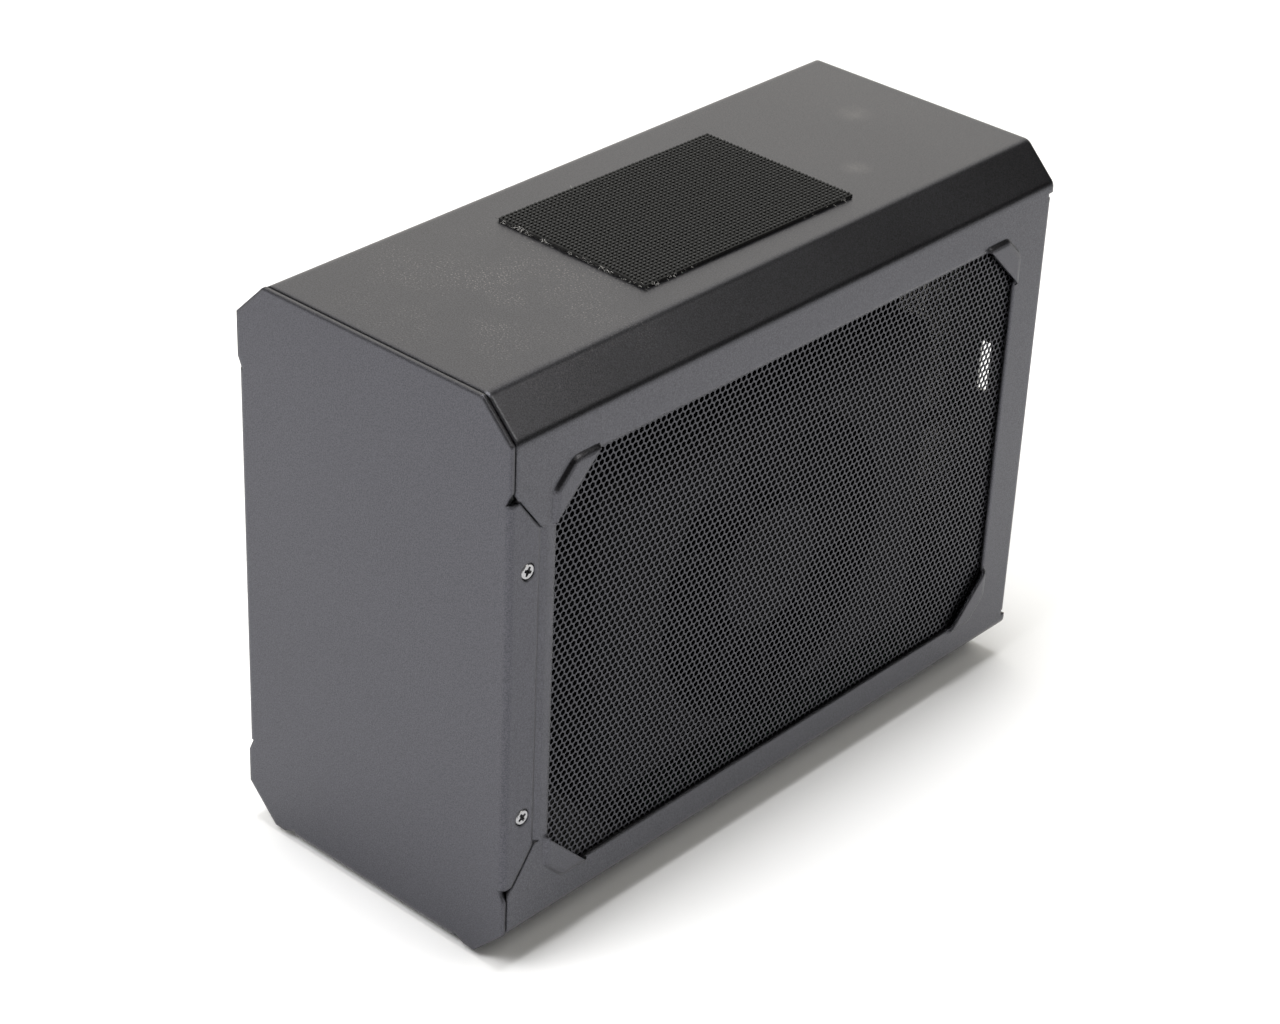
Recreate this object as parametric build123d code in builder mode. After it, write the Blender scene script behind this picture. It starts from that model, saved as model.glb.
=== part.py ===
from build123d import *

import os
from math import radians, sqrt, tan

# Driving dimensions in millimetres. X runs across the case, Y from front to back, Z up.

# Case
case_height = 160.0
rear_projection = 3.0
corner_cut = 9.75
sheet = 1.2
shell_bend = 3.0
bottom_lip = 5.5
foot_height = 2.0
fit_gap = 0.3

# Front cover and its folded flanges
cover_gap = 0.7
cover_bend = 1.5
flange_depth = 10.3
flange_slant_depth = 7.2
flange_slant_height = 9.6
flange_below = 23.4
flange_above = 25.6
bottom_flange_gap = 1.75
relief_length = 3.6
relief_margin = 0.1
pocket_gap = 0.5
ledge_lap = 2.0
joggle_run = 2.0
joggle_depth = 0.9

# Side windows, the raised pads at their corners and the grilles behind them
window_from_flange = 5.3
window_behind = 13.6
window_below = 18.85
window_above = 21.2
window_corner = 13.4
pad_height = 1.0
pad_margin = 0.9
pad_corner = 6.5
pad_tail = 1.0
grille_sheet = 0.8
grille_lap = 2.0
hex_pitch = 22.4
hex_web = 5.0

# Rear panel and the shell's return flanges
return_width = 5.0
return_margin = 14.0
return_relief = 1.6

# Flush screws in the cover's side flanges
screw_head = 4.4
screw_clearance = 0.1
screw_inset = 3.9
screw_end_gap = 10.3

# Hook tape on the top
patch_width = 51.0
patch_length = 78.0
patch_tape = 0.5
patch_hooks = 1.8
patch_border = 0.4
patch_x = 1.7
patch_y = 0.5
patch_turn = 1.1

# Feet
foot_width = 10.0
foot_length = 18.0
foot_inset = 14.0
foot_edge = 0.6

# Room inside the case beside, between and in front of its contents
psu_side_gap = 1.5
psu_width = 40.5
middle_gap = 4.2
pcb = 1.6
cooler_height = 37.5
card_room = 3.5
lead_room = 28.4

# Power supply
psu_height = 81.5
psu_length = 150.0
psu_wall = 1.0
psu_top_gap = 9.3
psu_slot_width = 3.0
psu_slot_pitch = 5.0
psu_slot_count = 7
inlet_width = 28.0
inlet_height = 20.0
inlet_depth = 19.0
inlet_wall = 1.8
inlet_rim = 2.5
inlet_cavity = 17.0
inlet_corner = 4.0
inlet_from_top = 20.0
pin_width = 4.0
pin_thickness = 2.0
pin_length = 12.0
pin_spacing = 7.0
pin_offset = 2.0

# Divider wall
leg_length = 14.0
wall_front_margin = 8.0
wall_foot = 12.0

# Main board
standoff_height = 5.0
standoff_across = 5.5
standoff_inset = 5.0
board_inset = 4.8
board_length = 138.0
chip_size = 14.0
chip_height = 1.4
slot_width = 7.5
slot_height = 11.2
slot_length = 89.0
slot_groove_depth = 8.6
slot_play = 0.2
slot_end = 2.0
slot_rear_gap = 32.0
usb_width = 14.4
usb_height = 15.6
usb_depth = 17.5
usb_pitch = 17.0
usb_count = 2
usb_from_edge = 8.5
usb_out = 0.8
port_width = 12.6
port_height = 5.2
port_depth = 10.5
port_spacing = 7.6
tongue_width = 11.2
tongue_height = 1.9
tongue_depth = 8.5
tongue_gap = 0.6
usb_c_width = 8.9
usb_c_height = 3.2
usb_c_depth = 7.5
usb_c_corner = 1.0
usb_c_wall = 0.35
usb_c_cavity = 5.5
usb_c_tongue = 0.7
usb_c_from_usb = 12.3
sink_size = 26.0
sink_height = 14.0
sink_fin = 2.0
sink_fin_count = 7
sink_base = 3.0
sink_from_wall = 2.0
sink_from_usb = 22.0
socket_length = 18.0
socket_height = 9.0
socket_depth = 10.0
socket_edge = 0.8
socket_from_wall = 19.0

# Graphics card
card_length = 170.0
card_height = 100.0
card_lift = 0.6
finger_depth = 8.0
bracket_sheet = 1.0
bracket_side_margin = 3.0
bracket_width = 39.0
bracket_below = 8.0
bracket_above = 9.0
bracket_tab = 11.0
bracket_frame = 3.0
connector_gap = 0.3
vent_width = 3.4
vent_height = 15.4
vent_edge = 5.3
vent_up = 69.3
dvi_length = 37.0
dvi_height = 9.6
dvi_depth = 16.0
dvi_shell_length = 25.5
dvi_shell_height = 8.4
dvi_shell_wall = 0.8
dvi_recess = 1.2
dvi_up = 22.0
hdmi_length = 15.0
hdmi_height = 6.0
hdmi_up = 50.5
dp_length = 16.8
dp_height = 6.2
dp_up = 68.5
dp_pitch = 18.5
dp_count = 2
video_depth = 12.0
video_wall = 0.6
video_cavity = 9.0
video_tongue = 1.4
video_out = 0.4
heatsink_gap = 1.5
heatsink_base = 5.0
fin_height = 15.0
fin_thickness = 1.2
fin_count = 24
chip_gap = 1.2
gpu_size = 22.0
cooler_front_gap = 1.0
shroud_wall = 1.8
shroud_length = 130.0
shroud_height = 95.0
shroud_depth = 17.0
shroud_post = 5.0
shroud_edge = 4.0
shroud_rim = 3.9
shroud_clearance = 1.6
card_hub_radius = 18.0
card_blade_count = 9
card_blade_chord = 14.0
card_mount_thickness = 3.0
card_arm_width = 7.0
card_arm_length = 38.0
card_power_overhang = 6.0
card_power_up = 70.0

# Supply's fan, and what both fans share
fan_size = 38.0
fan_depth = 12.0
fan_wall = 1.4
fan_hub_radius = 9.0
fan_blade_count = 5
fan_blade_chord = 9.5
fan_base = 2.0
fan_strut = 2.6
fan_tip_gap = 1.2
blade_thickness = 1.0
blade_angle = 40.0
blade_root = 1.0
hub_gap = 0.6
hub_recess = 0.8
shaft_radius = 1.5
shaft_clearance = 0.05

# Inner power leads
lead_radius = 3.2
lead_bend = 12.0
card_lead_run = 19.0
card_lead_from_wall = 28.0
board_lead_run = 16.0
board_lead_up = 14.0

# Where things stand
supply_side = sheet + grille_sheet + psu_side_gap + psu_width
card_side = middle_gap + pcb + cooler_height + card_room + grille_sheet + sheet
case_width = supply_side + sheet + card_side
case_length = sheet + lead_room + card_power_overhang + card_length + bracket_sheet + 2 * sheet
half_width = case_width / 2
y_front = -(case_length + rear_projection) / 2
y_rear = y_front + case_length
z_bottom = foot_height
z_top = z_bottom + case_height
z_middle = (z_bottom + z_top) / 2
shell_front = y_front + sheet + cover_gap
panel_inside = y_rear - 2 * sheet
base_top = z_bottom + 2 * sheet
psu_left = -half_width + sheet + grille_sheet + psu_side_gap
psu_right = psu_left + psu_width
psu_top = z_top - sheet - psu_top_gap
psu_bottom = psu_top - psu_height
psu_front = panel_inside - psu_length
card_back = psu_right + sheet + middle_gap
card_face = card_back + pcb
cooler_face = card_face + cooler_height
board_bottom = base_top + standoff_height
board_top = board_bottom + pcb
board_half = half_width - sheet - board_inset
board_rear = panel_inside - fit_gap
board_front = board_rear - board_length
bracket_inside = panel_inside - bracket_sheet
card_bottom = board_top + slot_height + card_lift
card_top = card_bottom + card_height
card_front = bracket_inside - card_length
card_power_mouth = card_front - card_power_overhang
cooler_y = card_power_mouth + socket_depth + cooler_front_gap + shroud_length / 2
cooler_z = (card_bottom + card_top) / 2
fin_tip = card_face + chip_gap + heatsink_base + fin_height
heatsink_length = shroud_length - 2 * (shroud_post + heatsink_gap)
heatsink_height = shroud_height - 2 * (shroud_wall + heatsink_gap)
card_fan_radius = shroud_height / 2 - shroud_rim - shroud_clearance
window_length = case_length - flange_depth - window_from_flange - window_behind
window_height = case_height - window_below - window_above
window_y = y_front + flange_depth + window_from_flange + window_length / 2
window_z = z_bottom + window_below + window_height / 2
flange_height = case_height - flange_below - flange_above
bottom_flange_half = half_width - corner_cut - bottom_lip - bottom_flange_gap
flange_middle = z_bottom + flange_below + flange_height / 2
inner_bend_start = half_width - corner_cut + sheet * (1 - sqrt(2)) - (shell_bend - sheet) * tan(radians(22.5))
base_half = inner_bend_start - fit_gap
bracket_left = card_back - bracket_side_margin
bracket_right = bracket_left + bracket_width
bracket_low = card_bottom - bracket_below
bracket_high = card_top + bracket_above
usb_z = board_top + usb_height / 2
usb_places = [(usb_from_edge - board_half + place * usb_pitch, usb_z) for place in range(usb_count)]
usb_c_x = usb_places[-1][0] + usb_c_from_usb
sink_x = psu_right - sink_from_wall - sink_size / 2
sink_y = board_rear - usb_depth - sink_from_usb - sink_size / 2
board_socket_x = psu_right - socket_from_wall
card_power_z = card_bottom + card_power_up


def front_plane(y):
    """Plane across the case at Y = y: local X and Y are the case's X and Z, the normal points forwards."""
    return Plane.XZ.offset(-y)


def side_plane(x):
    """Plane along the case at X = x: local X and Y are the case's Y and Z, its normal points to the right."""
    return Plane.YZ.offset(x)


def block(low, high, mode=Mode.ADD):
    """Box between two opposite corners, given in any order."""
    with Locations(tuple((a + b) / 2 for a, b in zip(low, high))):
        Box(*[abs(b - a) for a, b in zip(low, high)], mode=mode)


def polygon(points):
    """Face with straight sides through the given points."""
    Polygon(*points, align=None)


def case_outline(inset):
    """Eight-sided section of the case, inset by the same distance on every side."""
    with Locations((0, z_middle)):
        Rectangle(case_width - 2 * inset, case_height - 2 * inset)
    chamfer(vertices(), corner_cut - inset * (2 - sqrt(2)))


def flange_outline(middle, half_length, grow=0.0):
    """Flange of the front cover seen flat: local X is its depth from the front, with slanted rear corners."""
    rear = y_front + flange_depth
    slant = rear - flange_slant_depth
    straight = half_length - flange_slant_height
    polygon(
        [
            (y_front, middle - half_length),
            (slant, middle - half_length),
            (rear, middle - straight),
            (rear, middle + straight),
            (slant, middle + half_length),
            (y_front, middle + half_length),
        ]
    )
    if grow:
        offset(amount=grow, kind=Kind.INTERSECTION, mode=Mode.REPLACE)


def flange_screw_planes():
    """Planes of the screws in the side flanges, facing out of the case."""
    reach = flange_height / 2 - flange_slant_height - screw_end_gap
    y = y_front + flange_depth - screw_inset
    return [
        Plane((side * half_width, y, flange_middle + end * reach), z_dir=(side, 0, 0))
        for side in (-1, 1)
        for end in (-1, 1)
    ]


def flush_head(clearance, mode=Mode.ADD):
    """Head of a screw as deep as one sheet, or the hole for it, at the current locations."""
    Cylinder(screw_head / 2 + clearance, sheet, align=(Align.CENTER, Align.CENTER, Align.MAX), mode=mode)


def pad_outline(end_y, end_z, shrink):
    """Corner pad beside one corner of a window, in Y and Z, shrunk evenly on all sides."""
    reach_y = window_length / 2 + pad_margin - shrink
    reach_z = window_height / 2 + pad_margin - shrink
    cut = pad_corner + shrink * (sqrt(2) - 2)
    tail_y = window_length / 2 - window_corner - pad_tail + shrink
    tail_z = window_height / 2 - window_corner - pad_tail + shrink
    corners = [
        (reach_y, tail_z),
        (reach_y, reach_z - cut),
        (reach_y - cut, reach_z),
        (tail_y, reach_z),
        (tail_y, tail_z),
    ]
    polygon([(window_y + end_y * y, window_z + end_z * z) for y, z in corners])


def hexagon_places():
    """Middles of the grille's holes: staggered rows that stay clear of the window's cut corners."""
    row_step = hex_pitch * sqrt(3) / 2
    rows = int(window_height // row_step)
    columns = int(window_length // hex_pitch)
    reach = (window_length + window_height) / 2 - window_corner
    places = []
    for row in range(rows):
        count = columns - row % 2
        z = (row - (rows - 1) / 2) * row_step
        for column in range(count):
            y = (column - (count - 1) / 2) * hex_pitch
            if abs(y) + abs(z) < reach:
                places.append((window_y + y, window_z + z))
    return places


def fan_frame(plane):
    """Square frame of a small fan with its motor base on struts; plane is the back, facing along the axis."""
    bore = fan_size / 2 - fan_wall
    with BuildSketch(plane) as duct:
        Rectangle(fan_size, fan_size)
        Circle(bore, mode=Mode.SUBTRACT)
    extrude(duct.sketch, amount=fan_depth)
    with BuildSketch(plane) as base:
        Circle(fan_hub_radius)
        Rectangle(2 * bore + fan_wall, fan_strut)
        Rectangle(fan_strut, 2 * bore + fan_wall)
        Circle(shaft_radius + shaft_clearance, mode=Mode.SUBTRACT)
    extrude(base.sketch, amount=fan_base)


def impeller(plane, base, depth, hub_radius, tip_radius, count, chord):
    """Hub with flat pitched blades, and its shaft through a base that starts at the plane."""
    hub_low = base + hub_gap
    hub_height = depth - hub_recess - hub_low
    upright = (Align.CENTER, Align.CENTER, Align.MIN)
    with Locations(plane):
        Cylinder(shaft_radius, hub_low, align=upright)
    with Locations(plane.offset(hub_low)):
        Cylinder(hub_radius, hub_height, align=upright)
    for turn in range(count):
        spoke = Rot(0, 0, 360 * turn / count) * Pos(hub_radius - blade_root, 0, hub_low + hub_height / 2)
        with BuildSketch(Plane(plane.location * spoke * Rot(0, 90, 0))) as blade:
            Rectangle(chord, blade_thickness, rotation=blade_angle)
        extrude(blade.sketch, amount=tip_radius - hub_radius + blade_root)


def usb_c_outline(grow, mode=Mode.ADD):
    """Flat outline with cut corners, of the small socket on the main board or of the hole for it."""
    with BuildSketch(mode=Mode.PRIVATE) as outline:
        Rectangle(usb_c_width + 2 * grow, usb_c_height + 2 * grow)
        chamfer(vertices(), usb_c_corner)
    with Locations((usb_c_x, board_top + usb_c_height / 2)):
        add(outline.sketch, mode=mode)


def video_socket(middle_z, length, height):
    """Flat socket on the card's face, open to the back, with its contact tongue."""
    rear = panel_inside + video_out
    low_z = middle_z - length / 2
    high_z = middle_z + length / 2
    middle_x = card_face + height / 2
    floor = rear - video_cavity
    block((card_face, bracket_inside - video_depth, low_z), (card_face + height, rear, high_z))
    block(
        (card_face + video_wall, floor, low_z + video_wall),
        (card_face + height - video_wall, rear, high_z - video_wall),
        mode=Mode.SUBTRACT,
    )
    block(
        (middle_x - video_tongue / 2, floor, low_z + 2 * video_wall),
        (middle_x + video_tongue / 2, rear - video_tongue, high_z - 2 * video_wall),
    )


os.makedirs("parts", exist_ok=True)

# Outer shell: one folded sheet with bottom lips, side windows, corner pads and ledges for the cover
with BuildPart() as outer_shell:
    with BuildSketch(front_plane(shell_front)):
        case_outline(0)
        fillet(vertices(), shell_bend)
        offset(amount=-sheet, mode=Mode.SUBTRACT)
        with Locations((0, z_bottom)):
            Rectangle(case_width - 2 * (corner_cut + bottom_lip), 4 * sheet, mode=Mode.SUBTRACT)
    extrude(amount=shell_front - y_rear)

    return_low = z_bottom + return_margin
    return_high = z_top - return_margin
    pad_wall = sheet * tan(radians(22.5))
    for side in (-1, 1):
        edge_x = side * half_width

        # Rear return flange between two bend reliefs
        block(
            (edge_x, y_rear - sheet, return_low),
            (edge_x - side * return_width, y_rear, return_high),
        )
        for low in (return_low - return_relief, return_high):
            block(
                (edge_x - side * 2 * sheet, y_rear - cover_bend - relief_margin, low),
                (edge_x + side * sheet, y_rear, low + return_relief),
                mode=Mode.SUBTRACT,
            )

        # Pads pressed outwards at the corners of the window, then the window itself
        for end_y in (-1, 1):
            for end_z in (-1, 1):
                with BuildSketch(side_plane(edge_x)):
                    pad_outline(end_y, end_z, 0)
                with BuildSketch(side_plane(edge_x + side * pad_height)):
                    pad_outline(end_y, end_z, pad_height)
                loft(ruled=True)
                with BuildSketch(side_plane(edge_x - side * sheet)):
                    pad_outline(end_y, end_z, pad_wall)
                with BuildSketch(side_plane(edge_x - side * (sheet - pad_height))):
                    pad_outline(end_y, end_z, pad_wall + pad_height)
                loft(ruled=True, mode=Mode.SUBTRACT)
        with BuildSketch(side_plane(edge_x - side * 2 * sheet)):
            with Locations((window_y, window_z)):
                Rectangle(window_length, window_height)
            chamfer(vertices(), window_corner)
        extrude(amount=side * 2 * (sheet + pad_height), mode=Mode.SUBTRACT)

        # Pocket for the cover's flange, stepped in by one sheet onto a ledge
        with BuildSketch(side_plane(edge_x)):
            flange_outline(flange_middle, flange_height / 2, pocket_gap)
        extrude(amount=-side * sheet, mode=Mode.SUBTRACT)
        with BuildSketch(side_plane(edge_x - side * sheet)):
            flange_outline(flange_middle, flange_height / 2, pocket_gap + ledge_lap)
            with Locations((shell_front, flange_middle)):
                Rectangle(case_length, case_height, align=(Align.MAX, Align.CENTER), mode=Mode.SUBTRACT)
        extrude(amount=-side * sheet)
        joggle_y = y_front + flange_depth + pocket_gap
        straight = flange_height - 2 * flange_slant_height
        with BuildSketch(Plane.XY.offset(flange_middle - straight / 2)):
            polygon(
                [
                    (edge_x, joggle_y),
                    (edge_x, joggle_y + joggle_run),
                    (edge_x - side * joggle_depth, joggle_y),
                ]
            )
        extrude(amount=straight, mode=Mode.SUBTRACT)
        for end in (-1, 1):
            flange_end = flange_middle + end * flange_height / 2
            with BuildSketch(side_plane(edge_x - side * 3 * sheet)):
                polygon(
                    [
                        (y_front, flange_end),
                        (y_front + flange_depth - flange_slant_depth, flange_end),
                        (y_front + sheet, flange_end + end * relief_length),
                        (y_front, flange_end + end * relief_length),
                    ]
                )
            extrude(amount=side * 4 * sheet, mode=Mode.SUBTRACT)

    bend_edges = edges().filter_by(Axis.Z).filter_by(
        lambda e: e.center().Y > y_rear - sheet / 2
        and abs(e.center().X) > half_width - sheet / 2
        and abs(e.length - return_high + return_low) < sheet
    )
    fillet(bend_edges, cover_bend)
outer_shell.part.label = "outer_shell"
export_step(outer_shell.part, "parts/outer_shell.step")

# Front cover: flat plate with flanges folded back at both sides and at the bottom
with BuildPart() as front_cover:
    with BuildSketch(front_plane(y_front)):
        case_outline(0)
    extrude(amount=-sheet)
    for side in (-1, 1):
        edge_x = side * half_width
        with BuildSketch(side_plane(edge_x)):
            flange_outline(flange_middle, flange_height / 2)
        extrude(amount=-side * sheet)
        for end in (-1, 1):
            flange_end = flange_middle + end * flange_height / 2
            with BuildSketch(front_plane(y_front)):
                polygon(
                    [
                        (edge_x, flange_end),
                        (edge_x - side * (cover_bend + relief_margin), flange_end),
                        (edge_x, flange_end + end * relief_length),
                    ]
                )
            extrude(amount=-sheet, mode=Mode.SUBTRACT)
        with BuildSketch(front_plane(y_front)):
            polygon(
                [
                    (side * bottom_flange_half, z_bottom),
                    (side * bottom_flange_half, z_bottom + cover_bend + relief_margin),
                    (side * (bottom_flange_half + relief_length), z_bottom),
                ]
            )
        extrude(amount=-sheet, mode=Mode.SUBTRACT)
    bottom_plane = Plane((0, 0, z_bottom), x_dir=(0, 1, 0), z_dir=(0, 0, 1))
    with BuildSketch(bottom_plane):
        flange_outline(0, bottom_flange_half)
    extrude(amount=sheet)
    bend_edges = edges().filter_by(
        lambda e: abs(e.center().Y - y_front) < sheet / 2
        and (
            (abs(e.length - flange_height) < sheet and abs(e.center().X) > half_width - sheet / 2)
            or (abs(e.length - 2 * bottom_flange_half) < sheet and e.center().Z < z_bottom + sheet / 2)
        )
    )
    fillet(bend_edges, cover_bend)
    with Locations(*flange_screw_planes()):
        flush_head(screw_clearance, mode=Mode.SUBTRACT)
front_cover.part.label = "front_cover"
export_step(front_cover.part, "parts/front_cover.step")

# Screws of the front cover
with BuildPart() as front_screws:
    with Locations(*flange_screw_planes()):
        flush_head(0)
front_screws.part.label = "front_screws"
export_step(front_screws.part, "parts/front_screws.step")

# Hexagon grilles behind the side windows
for side, grille_name in ((1, "grille_right"), (-1, "grille_left")):
    with BuildPart() as grille:
        with BuildSketch(side_plane(side * (half_width - sheet))):
            with Locations((window_y, window_z)):
                Rectangle(window_length + 2 * grille_lap, window_height + 2 * grille_lap)
            with Locations(*hexagon_places()):
                RegularPolygon(
                    (hex_pitch - hex_web) / 2, 6, major_radius=False, rotation=30, mode=Mode.SUBTRACT
                )
        extrude(amount=-side * grille_sheet)
    grille.part.label = grille_name
    export_step(grille.part, f"parts/{grille_name}.step")

# Hook tape stuck on the top: a tape with a field of hooks
with BuildPart() as hook_patch:
    patch_plane = Plane((patch_x, patch_y, z_top)).rotated((0, 0, -patch_turn))
    with BuildSketch(patch_plane):
        Rectangle(patch_width, patch_length)
    extrude(amount=patch_tape)
    with BuildSketch(patch_plane.offset(patch_tape)):
        Rectangle(patch_width - 2 * patch_border, patch_length - 2 * patch_border)
    extrude(amount=patch_hooks)
hook_patch.part.label = "hook_patch"
export_step(hook_patch.part, "parts/hook_patch.step")

# Base plate lying on the shell's bottom lips
with BuildPart() as base_plate:
    block(
        (-base_half, shell_front + fit_gap, z_bottom + sheet),
        (base_half, panel_inside, base_top),
    )
base_plate.part.label = "base_plate"
export_step(base_plate.part, "parts/base_plate.step")

# Rubber feet under the base plate
foot_x = bottom_flange_half - foot_width / 2
for foot_name, x, y in (
    ("foot_front_left", -foot_x, y_front + flange_depth + foot_inset),
    ("foot_front_right", foot_x, y_front + flange_depth + foot_inset),
    ("foot_rear_left", -foot_x, y_rear - foot_inset),
    ("foot_rear_right", foot_x, y_rear - foot_inset),
):
    with BuildPart() as foot:
        with Locations((x, y, 0)):
            Box(foot_width, foot_length, z_bottom + sheet, align=(Align.CENTER, Align.CENTER, Align.MIN))
        chamfer(faces().sort_by(Axis.Z)[0].edges(), foot_edge)
    foot.part.label = foot_name
    export_step(foot.part, f"parts/{foot_name}.step")

# Rear panel with windows for the card's bracket, the supply and the board's sockets
with BuildPart() as rear_panel:
    with BuildSketch(front_plane(panel_inside)):
        case_outline(sheet + fit_gap)
        with Locations(((bracket_left + bracket_right) / 2, cooler_z)):
            Rectangle(
                bracket_width - 2 * bracket_frame,
                card_height - 2 * bracket_frame,
                mode=Mode.SUBTRACT,
            )
        with Locations(((psu_left + psu_right) / 2, (psu_bottom + psu_top) / 2)):
            Rectangle(psu_width - 2 * bracket_frame, psu_height - 2 * bracket_frame, mode=Mode.SUBTRACT)
        with Locations(*usb_places):
            Rectangle(usb_width + 2 * connector_gap, usb_height + 2 * connector_gap, mode=Mode.SUBTRACT)
        usb_c_outline(connector_gap, mode=Mode.SUBTRACT)
    extrude(amount=-sheet)
rear_panel.part.label = "rear_panel"
export_step(rear_panel.part, "parts/rear_panel.step")

# Divider wall beside the supply, standing on a leg in front of the main board
with BuildPart() as divider_wall:
    wall_front = psu_front - wall_front_margin
    with BuildSketch(side_plane(psu_right)):
        polygon(
            [
                (wall_front, base_top),
                (wall_front + leg_length, base_top),
                (wall_front + leg_length, psu_bottom),
                (panel_inside, psu_bottom),
                (panel_inside, psu_top),
                (wall_front, psu_top),
            ]
        )
    extrude(amount=sheet)
    block(
        (psu_right - wall_foot, wall_front, base_top),
        (psu_right, wall_front + leg_length, base_top + sheet),
    )
divider_wall.part.label = "divider_wall"
export_step(divider_wall.part, "parts/divider_wall.step")

# Main board on hexagonal standoffs
with BuildPart() as board_standoffs:
    standoff_y = (board_front + board_rear) / 2
    with BuildSketch(Plane.XY.offset(base_top)):
        with Locations((0, standoff_y)):
            with GridLocations(2 * (base_half - standoff_inset), board_length - 2 * standoff_inset, 2, 2):
                RegularPolygon(standoff_across / 2, 6, major_radius=False)
    extrude(amount=standoff_height)
board_standoffs.part.label = "board_standoffs"
export_step(board_standoffs.part, "parts/board_standoffs.step")

with BuildPart() as main_board:
    block((-board_half, board_front, board_bottom), (board_half, board_rear, board_top))
    with Locations((sink_x, sink_y, board_top)):
        Box(chip_size, chip_size, chip_height, align=(Align.CENTER, Align.CENTER, Align.MIN))
main_board.part.label = "main_board"
export_step(main_board.part, "parts/main_board.step")

with BuildPart() as card_slot:
    slot_x = (card_back + card_face) / 2
    slot_rear = board_rear - slot_rear_gap
    slot_front = slot_rear - slot_length
    slot_top = board_top + slot_height
    block(
        (slot_x - slot_width / 2, slot_front, board_top),
        (slot_x + slot_width / 2, slot_rear, slot_top),
    )
    block(
        (card_back - slot_play, slot_front + slot_end, slot_top - slot_groove_depth),
        (card_face + slot_play, slot_rear - slot_end, slot_top),
        mode=Mode.SUBTRACT,
    )
card_slot.part.label = "card_slot"
export_step(card_slot.part, "parts/card_slot.step")

with BuildPart() as controller_heatsink:
    sink_low = board_top + chip_height
    with Locations((sink_x, sink_y, sink_low)):
        Box(sink_size, sink_size, sink_base, align=(Align.CENTER, Align.CENTER, Align.MIN))
    with BuildSketch(Plane.XY.offset(sink_low + sink_base)):
        with Locations((sink_x, sink_y)):
            with GridLocations((sink_size - sink_fin) / (sink_fin_count - 1), 0, sink_fin_count, 1):
                Rectangle(sink_fin, sink_size)
    extrude(amount=sink_height - sink_base)
controller_heatsink.part.label = "controller_heatsink"
export_step(controller_heatsink.part, "parts/controller_heatsink.step")

with BuildPart() as usb_sockets:
    usb_rear = y_rear - sheet + usb_out
    port_floor = usb_rear - port_depth
    for x, z in usb_places:
        block(
            (x - usb_width / 2, usb_rear - usb_depth, z - usb_height / 2),
            (x + usb_width / 2, usb_rear, z + usb_height / 2),
        )
        for level in (-1, 1):
            port_z = z + level * port_spacing / 2
            tongue_top = port_z + port_height / 2 - tongue_gap
            block(
                (x - port_width / 2, port_floor, port_z - port_height / 2),
                (x + port_width / 2, usb_rear, port_z + port_height / 2),
                mode=Mode.SUBTRACT,
            )
            block(
                (x - tongue_width / 2, port_floor, tongue_top - tongue_height),
                (x + tongue_width / 2, port_floor + tongue_depth, tongue_top),
            )
usb_sockets.part.label = "usb_sockets"
export_step(usb_sockets.part, "parts/usb_sockets.step")

with BuildPart() as usb_c_socket:
    with BuildSketch(front_plane(usb_rear)):
        usb_c_outline(0)
    extrude(amount=usb_c_depth)
    with BuildSketch(front_plane(usb_rear)):
        usb_c_outline(-usb_c_wall)
    extrude(amount=usb_c_cavity, mode=Mode.SUBTRACT)
    usb_c_z = board_top + usb_c_height / 2
    tongue_half = usb_c_width / 2 - usb_c_corner - usb_c_wall
    block(
        (usb_c_x - tongue_half, usb_rear - usb_c_cavity, usb_c_z - usb_c_tongue / 2),
        (usb_c_x + tongue_half, usb_rear - usb_c_tongue, usb_c_z + usb_c_tongue / 2),
    )
usb_c_socket.part.label = "usb_c_socket"
export_step(usb_c_socket.part, "parts/usb_c_socket.step")

with BuildPart() as board_power_socket:
    block(
        (board_socket_x - socket_length / 2, board_front, board_top),
        (board_socket_x + socket_length / 2, board_front + socket_depth, board_top + socket_height),
    )
    chamfer(faces().sort_by(Axis.Z)[-1].edges(), socket_edge)
board_power_socket.part.label = "board_power_socket"
export_step(board_power_socket.part, "parts/board_power_socket.step")

# Graphics card: board with its contact edge and chip
with BuildPart() as card_board:
    block((card_back, card_front, card_bottom), (card_face, bracket_inside, card_top))
    block(
        (card_back, slot_front + 2 * slot_end, slot_top - finger_depth),
        (card_face, slot_rear - 2 * slot_end, card_bottom),
    )
    with Locations((card_face, cooler_y, cooler_z)):
        Box(chip_gap, gpu_size, gpu_size, align=(Align.MIN, Align.CENTER, Align.CENTER))
card_board.part.label = "card_board"
export_step(card_board.part, "parts/card_board.step")

with BuildPart() as card_bracket:
    with BuildSketch(front_plane(bracket_inside)):
        with Locations(((bracket_left + bracket_right) / 2, (bracket_low + bracket_high) / 2)):
            Rectangle(bracket_width, bracket_high - bracket_low)
        with Locations((card_face + dvi_height / 2, card_bottom + dvi_up)):
            Rectangle(
                dvi_shell_height + 2 * connector_gap, dvi_shell_length + 2 * connector_gap, mode=Mode.SUBTRACT
            )
        with Locations((card_face + hdmi_height / 2, card_bottom + hdmi_up)):
            Rectangle(hdmi_height + 2 * connector_gap, hdmi_length + 2 * connector_gap, mode=Mode.SUBTRACT)
        for place in range(dp_count):
            with Locations((card_face + dp_height / 2, card_bottom + dp_up + place * dp_pitch)):
                Rectangle(dp_height + 2 * connector_gap, dp_length + 2 * connector_gap, mode=Mode.SUBTRACT)
        with Locations((bracket_right - vent_edge, card_bottom + vent_up)):
            Rectangle(vent_width, vent_height, mode=Mode.SUBTRACT)
    extrude(amount=-bracket_sheet)
    block(
        (bracket_left, panel_inside - bracket_tab, bracket_high - bracket_sheet),
        (bracket_right, panel_inside, bracket_high),
    )
card_bracket.part.label = "card_bracket"
export_step(card_bracket.part, "parts/card_bracket.step")

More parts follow.
